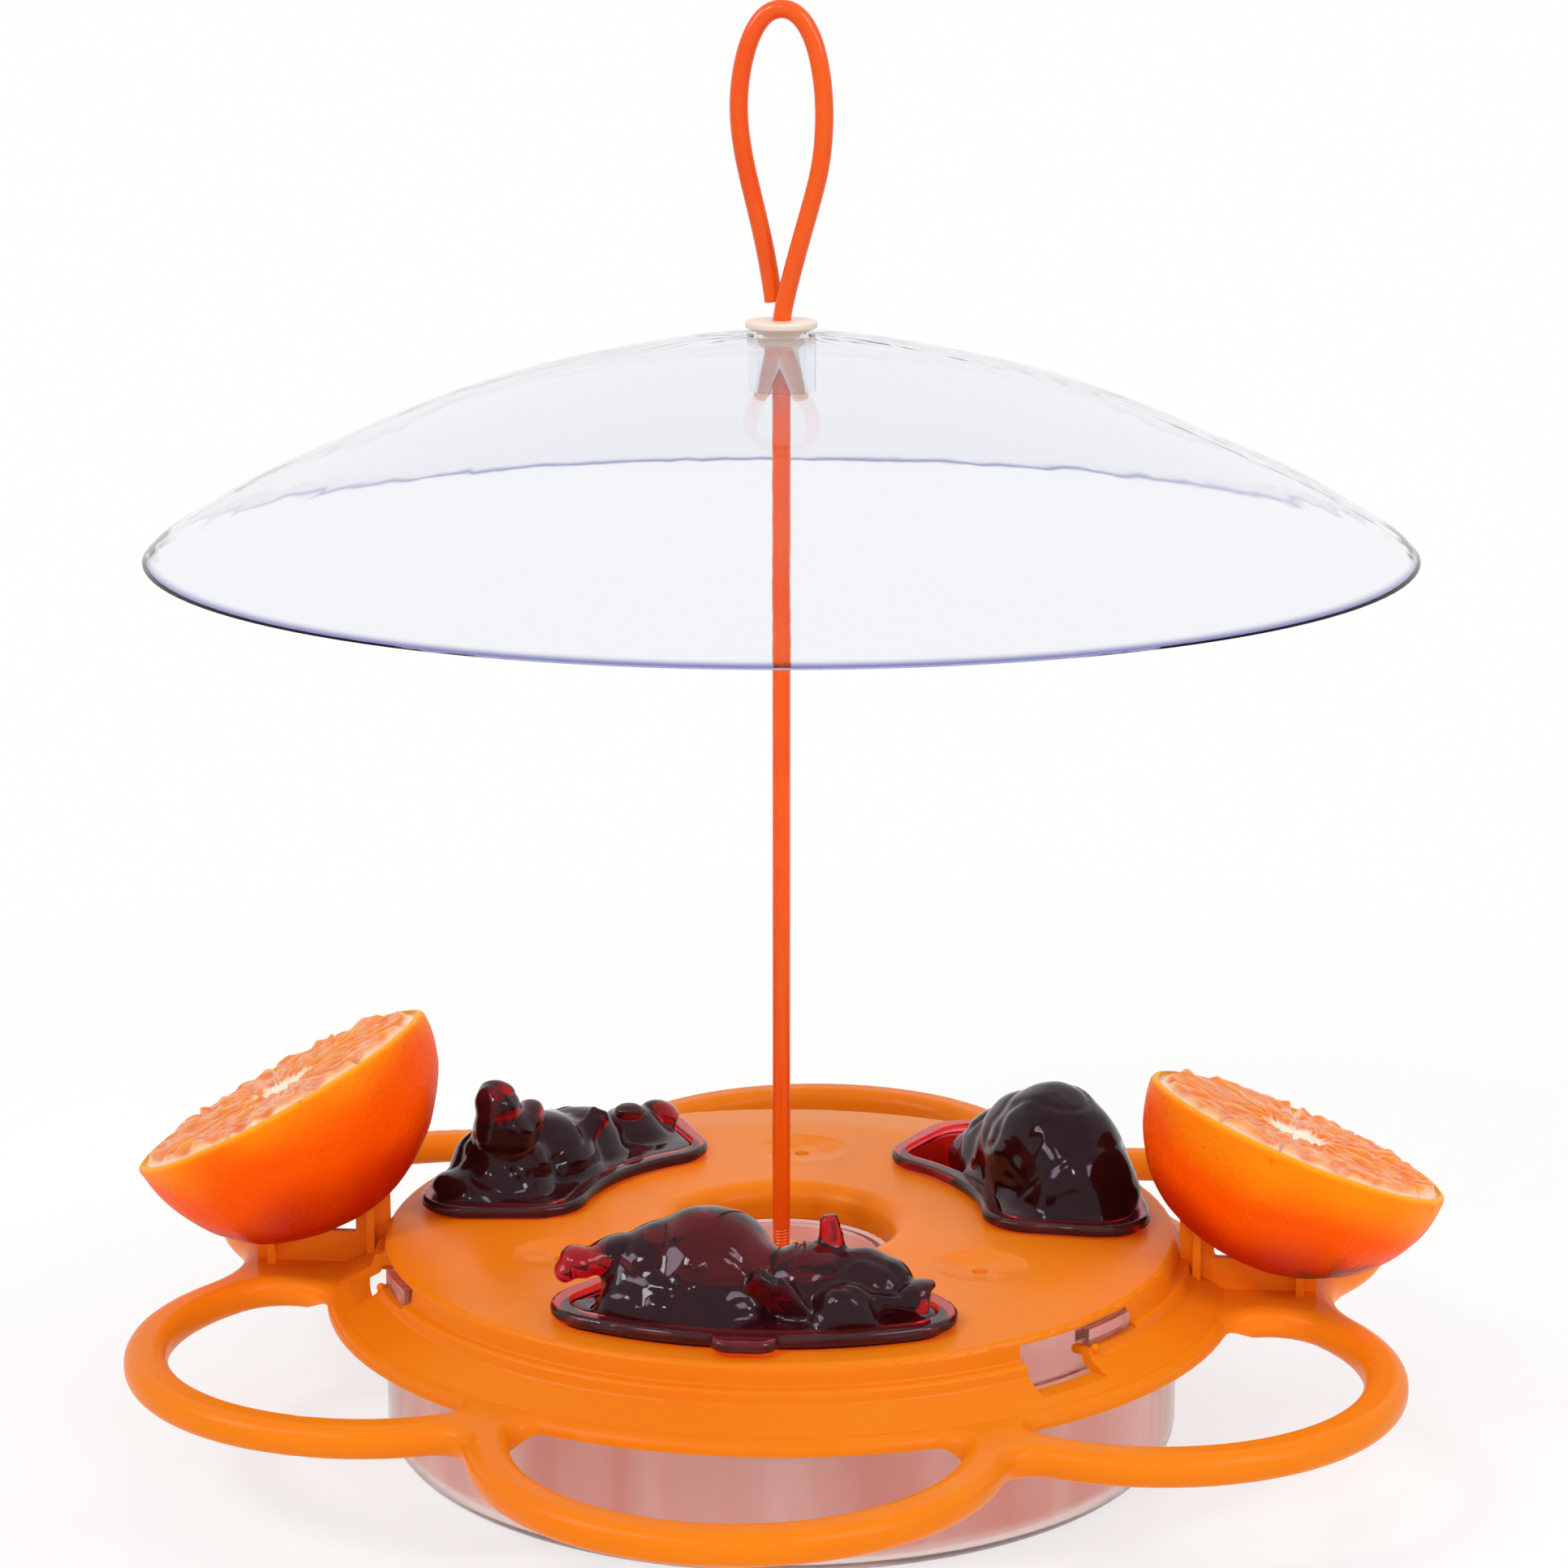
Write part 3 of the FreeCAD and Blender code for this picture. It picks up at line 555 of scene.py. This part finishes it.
def dishPolar(x, y):
    # along-the-dish coordinates: outward and sideways from the cup's middle
    middle = (cupSpec["inner"] + cupSpec["outer"]) / 2
    return math.hypot(x, y) - middle, math.atan2(y, x) * middle


def fromDish(out, side):
    middle = (cupSpec["inner"] + cupSpec["outer"]) / 2
    angle = side / middle
    return (middle + out) * math.cos(angle), (middle + out) * math.sin(angle)


def cupHalves():
    middle = (cupSpec["inner"] + cupSpec["outer"]) / 2
    return (cupSpec["outer"] - cupSpec["inner"]) / 2, math.radians(cupSpec["halfAngle"]) * middle


def holdInCup(x, y, spread):
    # pull a point back inside the cup's outline, grown by spread
    halfOut, halfSide = cupHalves()
    corner = cupSpec["corner"] + spread
    out, side = dishPolar(x, y)
    boxOut, boxSide = halfOut + spread - corner, halfSide + spread - corner
    overOut, overSide = max(abs(out) - boxOut, 0), max(abs(side) - boxSide, 0)
    over = math.hypot(overOut, overSide)
    if over <= corner:
        return x, y
    share = corner / over
    if overOut > 0:
        out = math.copysign(boxOut + overOut * share, out)
    if overSide > 0:
        side = math.copysign(boxSide + overSide * share, side)
    return fromDish(out, side)


# each lump: where it is outward, sideways and over the lid, its half sizes, then its turn about the
# outward axis and its lean; fill is how far the gel reaches along the cup, each bite is a hollow in it
# (outward, sideways, radius), melt is how much the body is smoothed and ripple how much it is stirred
jellySpec = {
    "front": {
        "azimuth": 270, "seed": 3.7, "fill": (-1.0, 1.0), "bites": [(4, -45, 8)],
        "ripple": 0.5, "melt": 14,
        "lumps": [
            ("ball", (66, -11, 5), (17, 18.5, 20.2), 0, 0), ("ball", (67, -22, 6), (14, 14, 16), 0, 0),
            ("ball", (77, -16, 4), (9, 20, 9), 0, 0), ("ball", (67, 12, 4), (13, 12, 14), 0, 0),
            ("ball", (67, 25, 3.5), (12, 12, 12.8), 0, 0), ("ball", (68, 31, 6), (9, 7, 9), 0, 0),
            ("ball", (80, 22, 3.5), (7, 8.5, 9), 0, 0),
        ],
        "bits": [
            ("ball", (69, -34, 14), (7, 8, 3.8), 25, 0),
            ("ball", (70.5, -41, 12.4), (5.5, 4.8, 3.6), -25, 0),
            ("ball", (72, -44, 10.6), (4.5, 2.8, 2.6), -50, 0),
            ("horn", (63, 17.4, 18.2), (3.4, 3.8, 4.8), 6, 0),
            ("slab", (75, 34, 7.4), (6, 9, 2.0), -4, 0), ("slab", (79, 5, 9.5), (2.2, 7, 3.6), -35, 20),
            ("slab", (80, 10, 7.5), (2, 7, 3), -50, 10), ("ball", (74, 38, 9.6), (5, 5, 1.6), 14, 0),
        ],
    },
    "right": {
        "azimuth": 30, "seed": 8.2, "fill": (-1.0, 0.3), "bites": [], "ripple": 0.5, "melt": 40,
        "lumps": [
            ("ball", (70, -12, 4), (17, 19, 26.8), 0, 0), ("ball", (69, -1, 5), (14, 15, 21), 0, 0),
            ("ball", (70, -20, 4), (16.5, 17, 24.6), 0, 0), ("ball", (70, -27, 3), (15, 14, 19), 0, 0),
            ("ball", (71, 12, 1), (14, 15, 16), 0, 0), ("ball", (80, -16, 3), (8, 22, 12), 0, 0),
            ("ball", (70, 27, -1), (9, 9.5, 8), 0, 0),
        ],
        "bits": [
            ("ball", (62, 4, 3), (5, 9, 6), 20, 0), ("ball", (64, -8, 2), (8, 9, 6), -15, 0),
        ],
    },
    "left": {
        "azimuth": 150, "seed": 5.1, "fill": (-1.0, 1.0), "bites": [(-18, -10, 8)],
        "ripple": 0.7, "melt": 12,
        "lumps": [
            ("ball", (70, 8, 3), (14, 17, 15.4), 0, 0), ("ball", (70, 24, 3), (14, 13, 16), -10, 0),
            ("ball", (72, 36, 1), (11, 9, 8.4), -20, 0), ("ball", (71, -8, 3), (12, 14, 12), 6, 0),
            ("ball", (70, -28, 2), (11, 10, 7.6), 0, 0), ("ball", (67, 29, 25), (6.6, 6.6, 6.6), 0, 0),
            ("ball", (67, 27.5, 18.5), (8.5, 8.5, 8), 0, 0), ("ball", (65, 23, 19.8), (6, 9, 5), -18, 0),
        ],
        "bits": [
            ("ball", (68, -40, 4.4), (5, 7.5, 4.6), 28, 0),
            ("ball", (68, -26.5, 9.6), (4, 4, 2), 0, 0), ("slab", (80, 2, 7), (2.2, 7, 3), 30, 16),
            ("slab", (62, -2, 12), (3, 7, 2.4), -30, -20),
        ],
    },
}


def addLump(cloth, kind, centre, half, turn, lean):
    place = (Matrix.Translation(Vector(centre)) @ Matrix.Rotation(math.radians(turn), 4, "X")
             @ Matrix.Rotation(math.radians(lean), 4, "Y") @ Matrix.Diagonal((*half, 1.0)))
    if kind == "slab":
        made = bmesh.ops.create_cube(cloth, size=1.7)["verts"]
    elif kind == "horn":
        made = bmesh.ops.create_cone(cloth, cap_ends=True, segments=7, radius1=1.0,
                                     radius2=0.6, depth=2.0)["verts"]
    else:
        made = bmesh.ops.create_icosphere(cloth, subdivisions=4, radius=1.0)["verts"]
    bmesh.ops.transform(cloth, matrix=place, verts=made)


def addFill(cloth, span, bites):
    # the gel that lies in the cup
    halfOut, halfSide = cupHalves()
    outline = []
    for index in range(72):
        angle = 2 * math.pi * index / 72
        out, side = math.cos(angle) * halfOut * 2, math.sin(angle) * halfSide * 2
        x, y = fromDish(out, side)
        x, y = holdInCup(x, y, 0.2)
        out, side = dishPolar(x, y)
        side = min(max(side, span[0] * halfSide), span[1] * halfSide)
        for biteOut, biteSide, radius in bites:
            away = math.hypot(out - biteOut, side - biteSide)
            if away < radius:
                out = biteOut + (out - biteOut) * radius / away
                side = biteSide + (side - biteSide) * radius / away
        outline.append(fromDish(out, side))
    low = [cloth.verts.new((x, y, cupSpec["floor"] - 0.2)) for x, y in outline]
    high = [cloth.verts.new((x, y, cupSpec["rimTop"] - 0.4)) for x, y in outline]
    count = len(outline)
    cloth.faces.new(list(reversed(low)))
    cloth.faces.new(high)
    for index in range(count):
        following = (index + 1) % count
        cloth.faces.new((low[index], low[following], high[following], high[index]))


def melt(heap, cell, softness, rounds):
    # one skin over all the lumps, softened
    skin = heap.modifiers.new("skin", "REMESH")
    skin.mode = "VOXEL"
    skin.voxel_size = cell
    soften = heap.modifiers.new("soften", "SMOOTH")
    soften.factor = softness
    soften.iterations = rounds
    keepShape(heap)


def buildJelly(place):
    spec = jellySpec[place]
    mesh = bpy.data.meshes.new("jelly_heap_" + place)
    heap = bpy.data.objects.new("jelly_heap_" + place, mesh)
    scene.collection.objects.link(heap)
    cloth = bmesh.new()
    for lump in spec["lumps"]:
        addLump(cloth, *lump)
    addFill(cloth, spec["fill"], spec["bites"])
    cloth.to_mesh(mesh)
    cloth.free()
    melt(heap, 0.9, 0.6, spec["melt"])
    rippleHeap(heap, spec)
    # crisp folds and drips come after the body is smooth
    cloth = bmesh.new()
    cloth.from_mesh(heap.data)
    for lump in spec["bits"]:
        addLump(cloth, *lump)
    cloth.to_mesh(heap.data)
    cloth.free()
    melt(heap, 0.7, 0.5, 3)
    seatHeap(heap, spec)
    dress(heap, finishes["gel"])
    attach(heap, "lid")
    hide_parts("jelly_" + place)


rippleSpec = {"swell": 2.6, "fold": 0.6, "crease": 1.3}    # mm


def rippleHeap(heap, spec):
    # slow swells and a few creases, as a spoon leaves them
    seed = Vector((spec["seed"], spec["seed"] * 2.3, 0))
    rim = cupSpec["rimTop"]
    for point in heap.data.vertices:
        height = point.co.z - rim
        if height < 0:
            continue
        share = smoothStep(0, 5, height) * spec["ripple"]
        swell = noise.noise(point.co / 13 + seed)
        fold = noise.noise(Vector((point.co.x, point.co.y, point.co.z * 1.8)) / 7 + seed)
        crease = smoothStep(0.09, 0.0, abs(noise.noise(point.co / 15 + seed * 1.7)))
        push = swell * rippleSpec["swell"] + fold * rippleSpec["fold"] - crease * rippleSpec["crease"]
        point.co += point.normal * share * push


def seatHeap(heap, spec):
    turn = Matrix.Rotation(math.radians(spec["azimuth"]), 4, "Z")
    rim = cupSpec["rimTop"]
    floor = cupSpec["floor"] - 0.2
    for point in heap.data.vertices:
        x, y, z = point.co
        spread = 0.15 + max(z - (rim - 0.4), 0) * 0.75
        x, y = holdInCup(x, y, spread)
        z = max(z, floor)
        point.co = (turn @ Vector((x, y, z + plateTop))) * mm
    heap.data.update()


for place in jellySpec:
    buildJelly(place)
print("jelly spooned into", len(jellySpec), "dishes")


# orange halves

fruitSpec = {
    "left": {"radius": 40.6, "depth": 38.0, "offset": 126.6, "height": 45.0, "tilt": 28.5, "lean": 1.5,
             "azimuth": 180, "seed": 11.0, "undersideShade": 0.0, "segments": 10},
    "right": {"radius": 39.3, "depth": 34.8, "offset": 127.8, "height": 40.3, "tilt": 21.3, "lean": -6.8,
              "azimuth": 0, "seed": 23.0, "undersideShade": 1.0, "segments": 11},
}
rindSpec = {
    "roundness": 0.57,
    "around": 320,
    "rings": 84,
    "fleshRings": 62,
    "edge": 1.6,             # rounding of the cut edge
    "peel": 3.2,
    "sunk": 0.7,             # how far the cut face lies under the rind's edge
    # painted light and shade: the peel colours run from lit at the top to shaded at the bottom; the
    # darkest also colours the specks
    "litPeel": colour(255, 140, 6),
    "peelMiddle": colour(255, 90, 0),
    "shadedPeelAndSpeck": colour(186, 26, 0),
    "cutEdge": colour(255, 176, 40),
    "pith": colour(255, 240, 214),
    "flesh": colour(240, 114, 18),
    "fleshPale": colour(252, 152, 50),
    # painted shade: the dark brown of the patch under the right half
    "undersideShade": colour(92, 58, 20),
}


def rindProfile(spec):
    # radius and depth from the bottom pole up to the cut edge
    reach = rindSpec["roundness"]
    radius, depth = spec["radius"], spec["depth"]
    corners = [(0, -depth), (reach * radius, -depth), (radius, -reach * depth), (radius, 0)]
    profile = []
    for ring in range(rindSpec["rings"]):
        t = (ring + 0.5) / rindSpec["rings"]
        weights = ((1 - t) ** 3, 3 * t * (1 - t) ** 2, 3 * t * t * (1 - t), t ** 3)
        across = sum(w * c[0] for w, c in zip(weights, corners))
        down = sum(w * c[1] for w, c in zip(weights, corners))
        profile.append((across, down))
    edge = rindSpec["edge"]
    profile = [p for p in profile if p[1] < -edge]
    for step in range(6):
        angle = math.pi / 2 * step / 5
        profile.append((radius - edge + edge * math.cos(angle), -edge + edge * math.sin(angle)))
    return profile


def rindPoint(spec, across, down, angle):
    # peel with gentle lumps and pores
    direction = Vector((math.cos(angle), math.sin(angle), 0))
    point = direction * across + Vector((0, 0, down))
    seed = Vector((spec["seed"], 0, 0))
    outward = point.normalized()
    lump = noise.noise(point / 17 + seed) * 0.7 + noise.noise(point / 7 + seed) * 0.25
    near, _ = noise.voronoi(point / 2.1 + seed)
    pore = -0.16 * smoothStep(0.35, 0.0, near[0])
    return point + outward * (lump + pore - 0.45)


def rindTint(spec, point):
    look = rindSpec
    # painted light and shade: the peel is coloured lighter towards the cut edge and darker towards the
    # bottom pole
    drift = noise.noise(point / 22 + Vector((spec["seed"], 4, 1))) * 0.25
    level = min(max(1 + point.z / spec["depth"] + drift, 0), 1)
    tint = mixColour(look["shadedPeelAndSpeck"], look["peelMiddle"], smoothStep(0.04, 0.62, level))
    tint = mixColour(tint, look["litPeel"], smoothStep(0.68, 1.04, level))
    tint = mixColour(tint, look["cutEdge"], smoothStep(-1.2, 0.2, point.z))
    near, _ = noise.voronoi(point / 8 + Vector((spec["seed"], 2, 6)))
    speck = smoothStep(0.10, 0.04, near[0])
    tint = mixColour(tint, look["shadedPeelAndSpeck"], speck * 0.5)
    # painted shade: a dark brown patch on the underside of the right half
    if spec["undersideShade"]:
        where = Vector((17, -14, -27))
        spread = (point - where).length + noise.noise(point / 5) * 6
        tint = mixColour(tint, look["undersideShade"], 0.75 * smoothStep(13, 4, spread))
    return tint


def fleshPoint(spec, across, angle):
    # segments, membranes, juice sacs and the pith in the middle
    look = rindSpec
    radius = spec["radius"] - look["peel"]
    share = across / radius
    seed = spec["seed"]
    wobble = noise.noise(Vector((math.cos(angle) * 1.4, math.sin(angle) * 1.4, seed))) * 0.35
    turn = (angle + wobble) / (2 * math.pi) * spec["segments"]
    inCell = abs((turn % 1.0) - 0.5) * 2
    wallWidth = 0.10 + 0.9 / max(across, 1.0) * 0.6
    membrane = smoothStep(1 - wallWidth, 1.0, inCell)
    sac = noise.noise(Vector((math.cos(angle) * 9, math.sin(angle) * 9, across * 0.16 + seed)))
    fine = noise.noise(Vector((math.cos(angle) * across / 2.4, math.sin(angle) * across / 2.4, seed)))
    core = 8.4 + 4.8 * noise.noise(Vector((math.cos(angle) * 1.8, math.sin(angle) * 1.8, seed + 5)))
    pith = smoothStep(core + 1.5, core - 0.6, across)
    rim = smoothStep(0.95, 1.0, share)
    body = (1 - membrane) * (1 - pith) * (1 - rim)
    height = 0.2 + body * (1.1 + 0.9 * sac + 0.5 * fine) - 0.5 * membrane * (1 - pith) + 0.5 * pith * fine
    height += 0.8 * smoothStep(0.6, 0.95, share) * body * (0.5 + sac)
    tint = mixColour(look["flesh"], look["fleshPale"], min(max(0.4 + 1.1 * sac, 0), 1))
    tint = mixColour(tint, look["pith"], 0.45 * membrane)
    tint = mixColour(tint, look["pith"], pith)
    tint = mixColour(tint, look["pith"], 0.8 * rim)
    return height, tint


def buildOrange(place):
    spec = fruitSpec[place]
    look = rindSpec
    around = look["around"]
    points, tints, rows = [], [], []
    points.append(Vector((0, 0, -spec["depth"])))
    tints.append(rindTint(spec, points[0]))
    for across, down in rindProfile(spec):
        row = []
        for index in range(around):
            angle = 2 * math.pi * index / around
            point = rindPoint(spec, across, down, angle)
            row.append(len(points))
            points.append(point)
            tints.append(rindTint(spec, point))
        rows.append(row)
    rindRows = len(rows)
    start = spec["radius"] - look["edge"]
    inner = spec["radius"] - look["peel"]
    for ring in range(look["fleshRings"]):
        share = ring / look["fleshRings"]
        across = start * (1 - share) + 0.25 * share
        row = []
        for index in range(around):
            angle = 2 * math.pi * index / around
            if across > inner:
                height = -0.15 + 0.15 * noise.noise(Vector((angle * 9, across, spec["seed"])))
                tint = mixColour(look["cutEdge"], look["pith"], smoothStep(start, inner, across) * 0.7)
            else:
                height, tint = fleshPoint(spec, across, angle)
            row.append(len(points))
            height -= look["sunk"]
            points.append(Vector((across * math.cos(angle), across * math.sin(angle), height)))
            tints.append(tint)
        rows.append(row)
    points.append(Vector((0, 0, -0.6)))
    tints.append(look["pith"])
    faces, slots = [], []
    for index in range(around):
        following = (index + 1) % around
        faces.append((0, rows[0][following], rows[0][index]))
        slots.append(0)
    for number in range(len(rows) - 1):
        low, high = rows[number], rows[number + 1]
        for index in range(around):
            following = (index + 1) % around
            faces.append((low[index], low[following], high[following], high[index]))
            slots.append(0 if number < rindRows else 1)
    for index in range(around):
        following = (index + 1) % around
        faces.append((rows[-1][index], rows[-1][following], len(points) - 1))
        slots.append(1)
    move = (Matrix.Rotation(math.radians(spec["azimuth"]), 4, "Z")
            @ Matrix.Translation(Vector((spec["offset"], 0, perchTop + spec["height"])))
            @ Matrix.Rotation(math.radians(spec["tilt"]), 4, "Y")
            @ Matrix.Rotation(math.radians(spec["lean"]), 4, "X"))
    half = addMesh("orange_" + place, [move @ p for p in points], faces)
    paintPoints(half, tints)
    dress(half, finishes["rind"], finishes["flesh"])
    for face, slot in zip(half.data.polygons, slots):
        face.material_index = slot
    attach(half, "lid")
    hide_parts("orange_half_" + place)


for place in fruitSpec:
    buildOrange(place)
print("orange halves cut and set on their brackets")


# floor, lights and camera

stageSpec = {
    "floorRadius": 60.0,
    "floorColour": colour(250, 249, 248),
    "floorGlow": 0.72,
    "shadowReach": (0.16, 0.6),          # metres from the object where its shadow fades out
    "worldFill": 0.55,
}


def seenDirectly(tree):
    # camera, glossy and transmission rays see the plain white studio
    path = addNode(tree, "ShaderNodeLightPath")
    first = addNode(tree, "ShaderNodeMath", {"operation": "MAXIMUM"})
    tree.links.new(path.outputs["Is Camera Ray"], first.inputs[0])
    tree.links.new(path.outputs["Is Glossy Ray"], first.inputs[1])
    second = addNode(tree, "ShaderNodeMath", {"operation": "MAXIMUM"})
    tree.links.new(first.outputs[0], second.inputs[0])
    tree.links.new(path.outputs["Is Transmission Ray"], second.inputs[1])
    return second.outputs[0]


def buildFloor():
    spec = stageSpec
    cloth = bmesh.new()
    bmesh.ops.create_circle(cloth, cap_ends=True, segments=96, radius=spec["floorRadius"])
    mesh = bpy.data.meshes.new("studio_floor")
    cloth.to_mesh(mesh)
    cloth.free()
    floor = bpy.data.objects.new("studio_floor", mesh)
    floor.location.z = -0.0004
    scene.collection.objects.link(floor)
    finish = bpy.data.materials.new("studio_floor")
    finish.use_nodes = True
    tree = finish.node_tree
    tree.nodes.clear()
    matt = addNode(tree, "ShaderNodeBsdfDiffuse", inputs={"Color": spec["floorColour"]})
    glow = addNode(tree, "ShaderNodeEmission", inputs={"Color": (1.0, 0.995, 0.99, 1.0), "Strength": 1.0})
    # the shadow lies close to the object, and further out the floor is plain white
    reach = addNode(tree, "ShaderNodeVectorMath", {"operation": "LENGTH"})
    tree.links.new(objectCoords(tree), reach.inputs[0])
    near, far = spec["shadowReach"]
    plain = addNode(tree, "ShaderNodeMapRange", {"interpolation_type": "SMOOTHSTEP"},
                    {"From Min": near, "From Max": far, "To Min": spec["floorGlow"]})
    tree.links.new(reach.outputs["Value"], plain.inputs["Value"])
    share = addNode(tree, "ShaderNodeMath", {"operation": "MULTIPLY"})
    tree.links.new(plain.outputs["Result"], share.inputs[1])
    tree.links.new(seenDirectly(tree), share.inputs[0])
    both = addNode(tree, "ShaderNodeMixShader")
    tree.links.new(share.outputs[0], both.inputs[0])
    tree.links.new(matt.outputs[0], both.inputs[1])
    tree.links.new(glow.outputs[0], both.inputs[2])
    out = addNode(tree, "ShaderNodeOutputMaterial")
    tree.links.new(both.outputs[0], out.inputs["Surface"])
    mesh.materials.append(finish)


def buildWorld():
    world = bpy.data.worlds.new("studio")
    scene.world = world
    world.use_nodes = True
    tree = world.node_tree
    back = tree.nodes["Background"]
    back.inputs["Color"].default_value = (1.0, 1.0, 1.0, 1.0)
    level = addNode(tree, "ShaderNodeMapRange", inputs={"To Min": stageSpec["worldFill"], "To Max": 1.0})
    tree.links.new(seenDirectly(tree), level.inputs["Value"])
    tree.links.new(level.outputs["Result"], back.inputs["Strength"])


# softboxes: where they hang, their width in metres, strength and tint, and what sees them
lampSpec = {
    "leftCard": {"place": (-1.5, -0.6, 1.3), "size": 0.8, "watts": 20, "tint": (0.92, 0.9, 1.0),
                 "seenBy": "gloss"},
    "rightCard": {"place": (1.3, -1.1, 1.5), "size": 0.8, "watts": 20, "tint": (0.92, 0.9, 1.0),
                  "seenBy": "gloss"},
    "key": {"place": (-1.3, -1.5, 2.0), "size": 0.46, "watts": 18, "tint": (1.0, 0.99, 0.97),
            "seenBy": "surface gloss glass"},
    "top": {"place": (0.3, -0.2, 2.3), "size": 1.4, "watts": 11, "tint": (1.0, 1.0, 1.0),
            "seenBy": "surface"},
    "side": {"place": (1.9, -0.9, 1.0), "size": 0.36, "watts": 8, "tint": (0.97, 0.98, 1.0),
             "seenBy": "surface gloss glass"},
    "back": {"place": (0.2, 2.0, 1.4), "size": 1.2, "watts": 7, "tint": (1.0, 1.0, 1.0),
             "seenBy": "surface"},
    "fill": {"place": (0.4, -2.6, 0.45), "size": 1.6, "watts": 9, "tint": (1.0, 1.0, 1.0),
             "seenBy": "surface glass"},
    "sparkle": {"place": (-0.5, -2.0, 1.7), "size": 0.16, "watts": 5, "tint": (1.0, 1.0, 1.0),
                "seenBy": "surface gloss"},
}


def buildLamps():
    aim = Vector((0, 0, 0.09))
    for name, spec in lampSpec.items():
        light = bpy.data.lights.new("lamp_" + name, "AREA")
        light.size = spec["size"]
        light.energy = spec["watts"]
        light.color = spec["tint"]
        lamp = bpy.data.objects.new("lamp_" + name, light)
        lamp.location = spec["place"]
        lamp.rotation_euler = (aim - lamp.location).to_track_quat("-Z", "Y").to_euler()
        lamp.visible_diffuse = "surface" in spec["seenBy"]
        lamp.visible_glossy = "gloss" in spec["seenBy"]
        lamp.visible_transmission = "glass" in spec["seenBy"]
        scene.collection.objects.link(lamp)


cameraSpec = {
    "turn": 5.3,               # degrees round the rod from straight ahead
    "distance": 997.5,
    "height": 391.8,
    "dip": 12.8,
    "focalPixels": 5165.0,
    "centrePixel": 962.8,
    "framePixels": 1932.0,
    "sensor": 36.0,
}


def placeCamera():
    spec = cameraSpec
    lens = bpy.data.cameras.new("camera")
    lens.sensor_width = spec["sensor"]
    lens.lens = spec["focalPixels"] / spec["framePixels"] * spec["sensor"]
    lens.shift_x = (spec["framePixels"] / 2 - spec["centrePixel"]) / spec["framePixels"]
    lens.clip_start = 0.05
    lens.clip_end = 200
    camera = bpy.data.objects.new("camera", lens)
    turn = math.radians(spec["turn"])
    camera.location = Vector((math.sin(turn) * spec["distance"], -math.cos(turn) * spec["distance"],
                              spec["height"])) * mm
    camera.rotation_euler = (math.radians(90 - spec["dip"]), 0, turn)
    scene.collection.objects.link(camera)
    scene.camera = camera


buildFloor()
buildWorld()
buildLamps()
placeCamera()
scene.view_settings.view_transform = "Standard"
print("stage, lamps and camera in place")
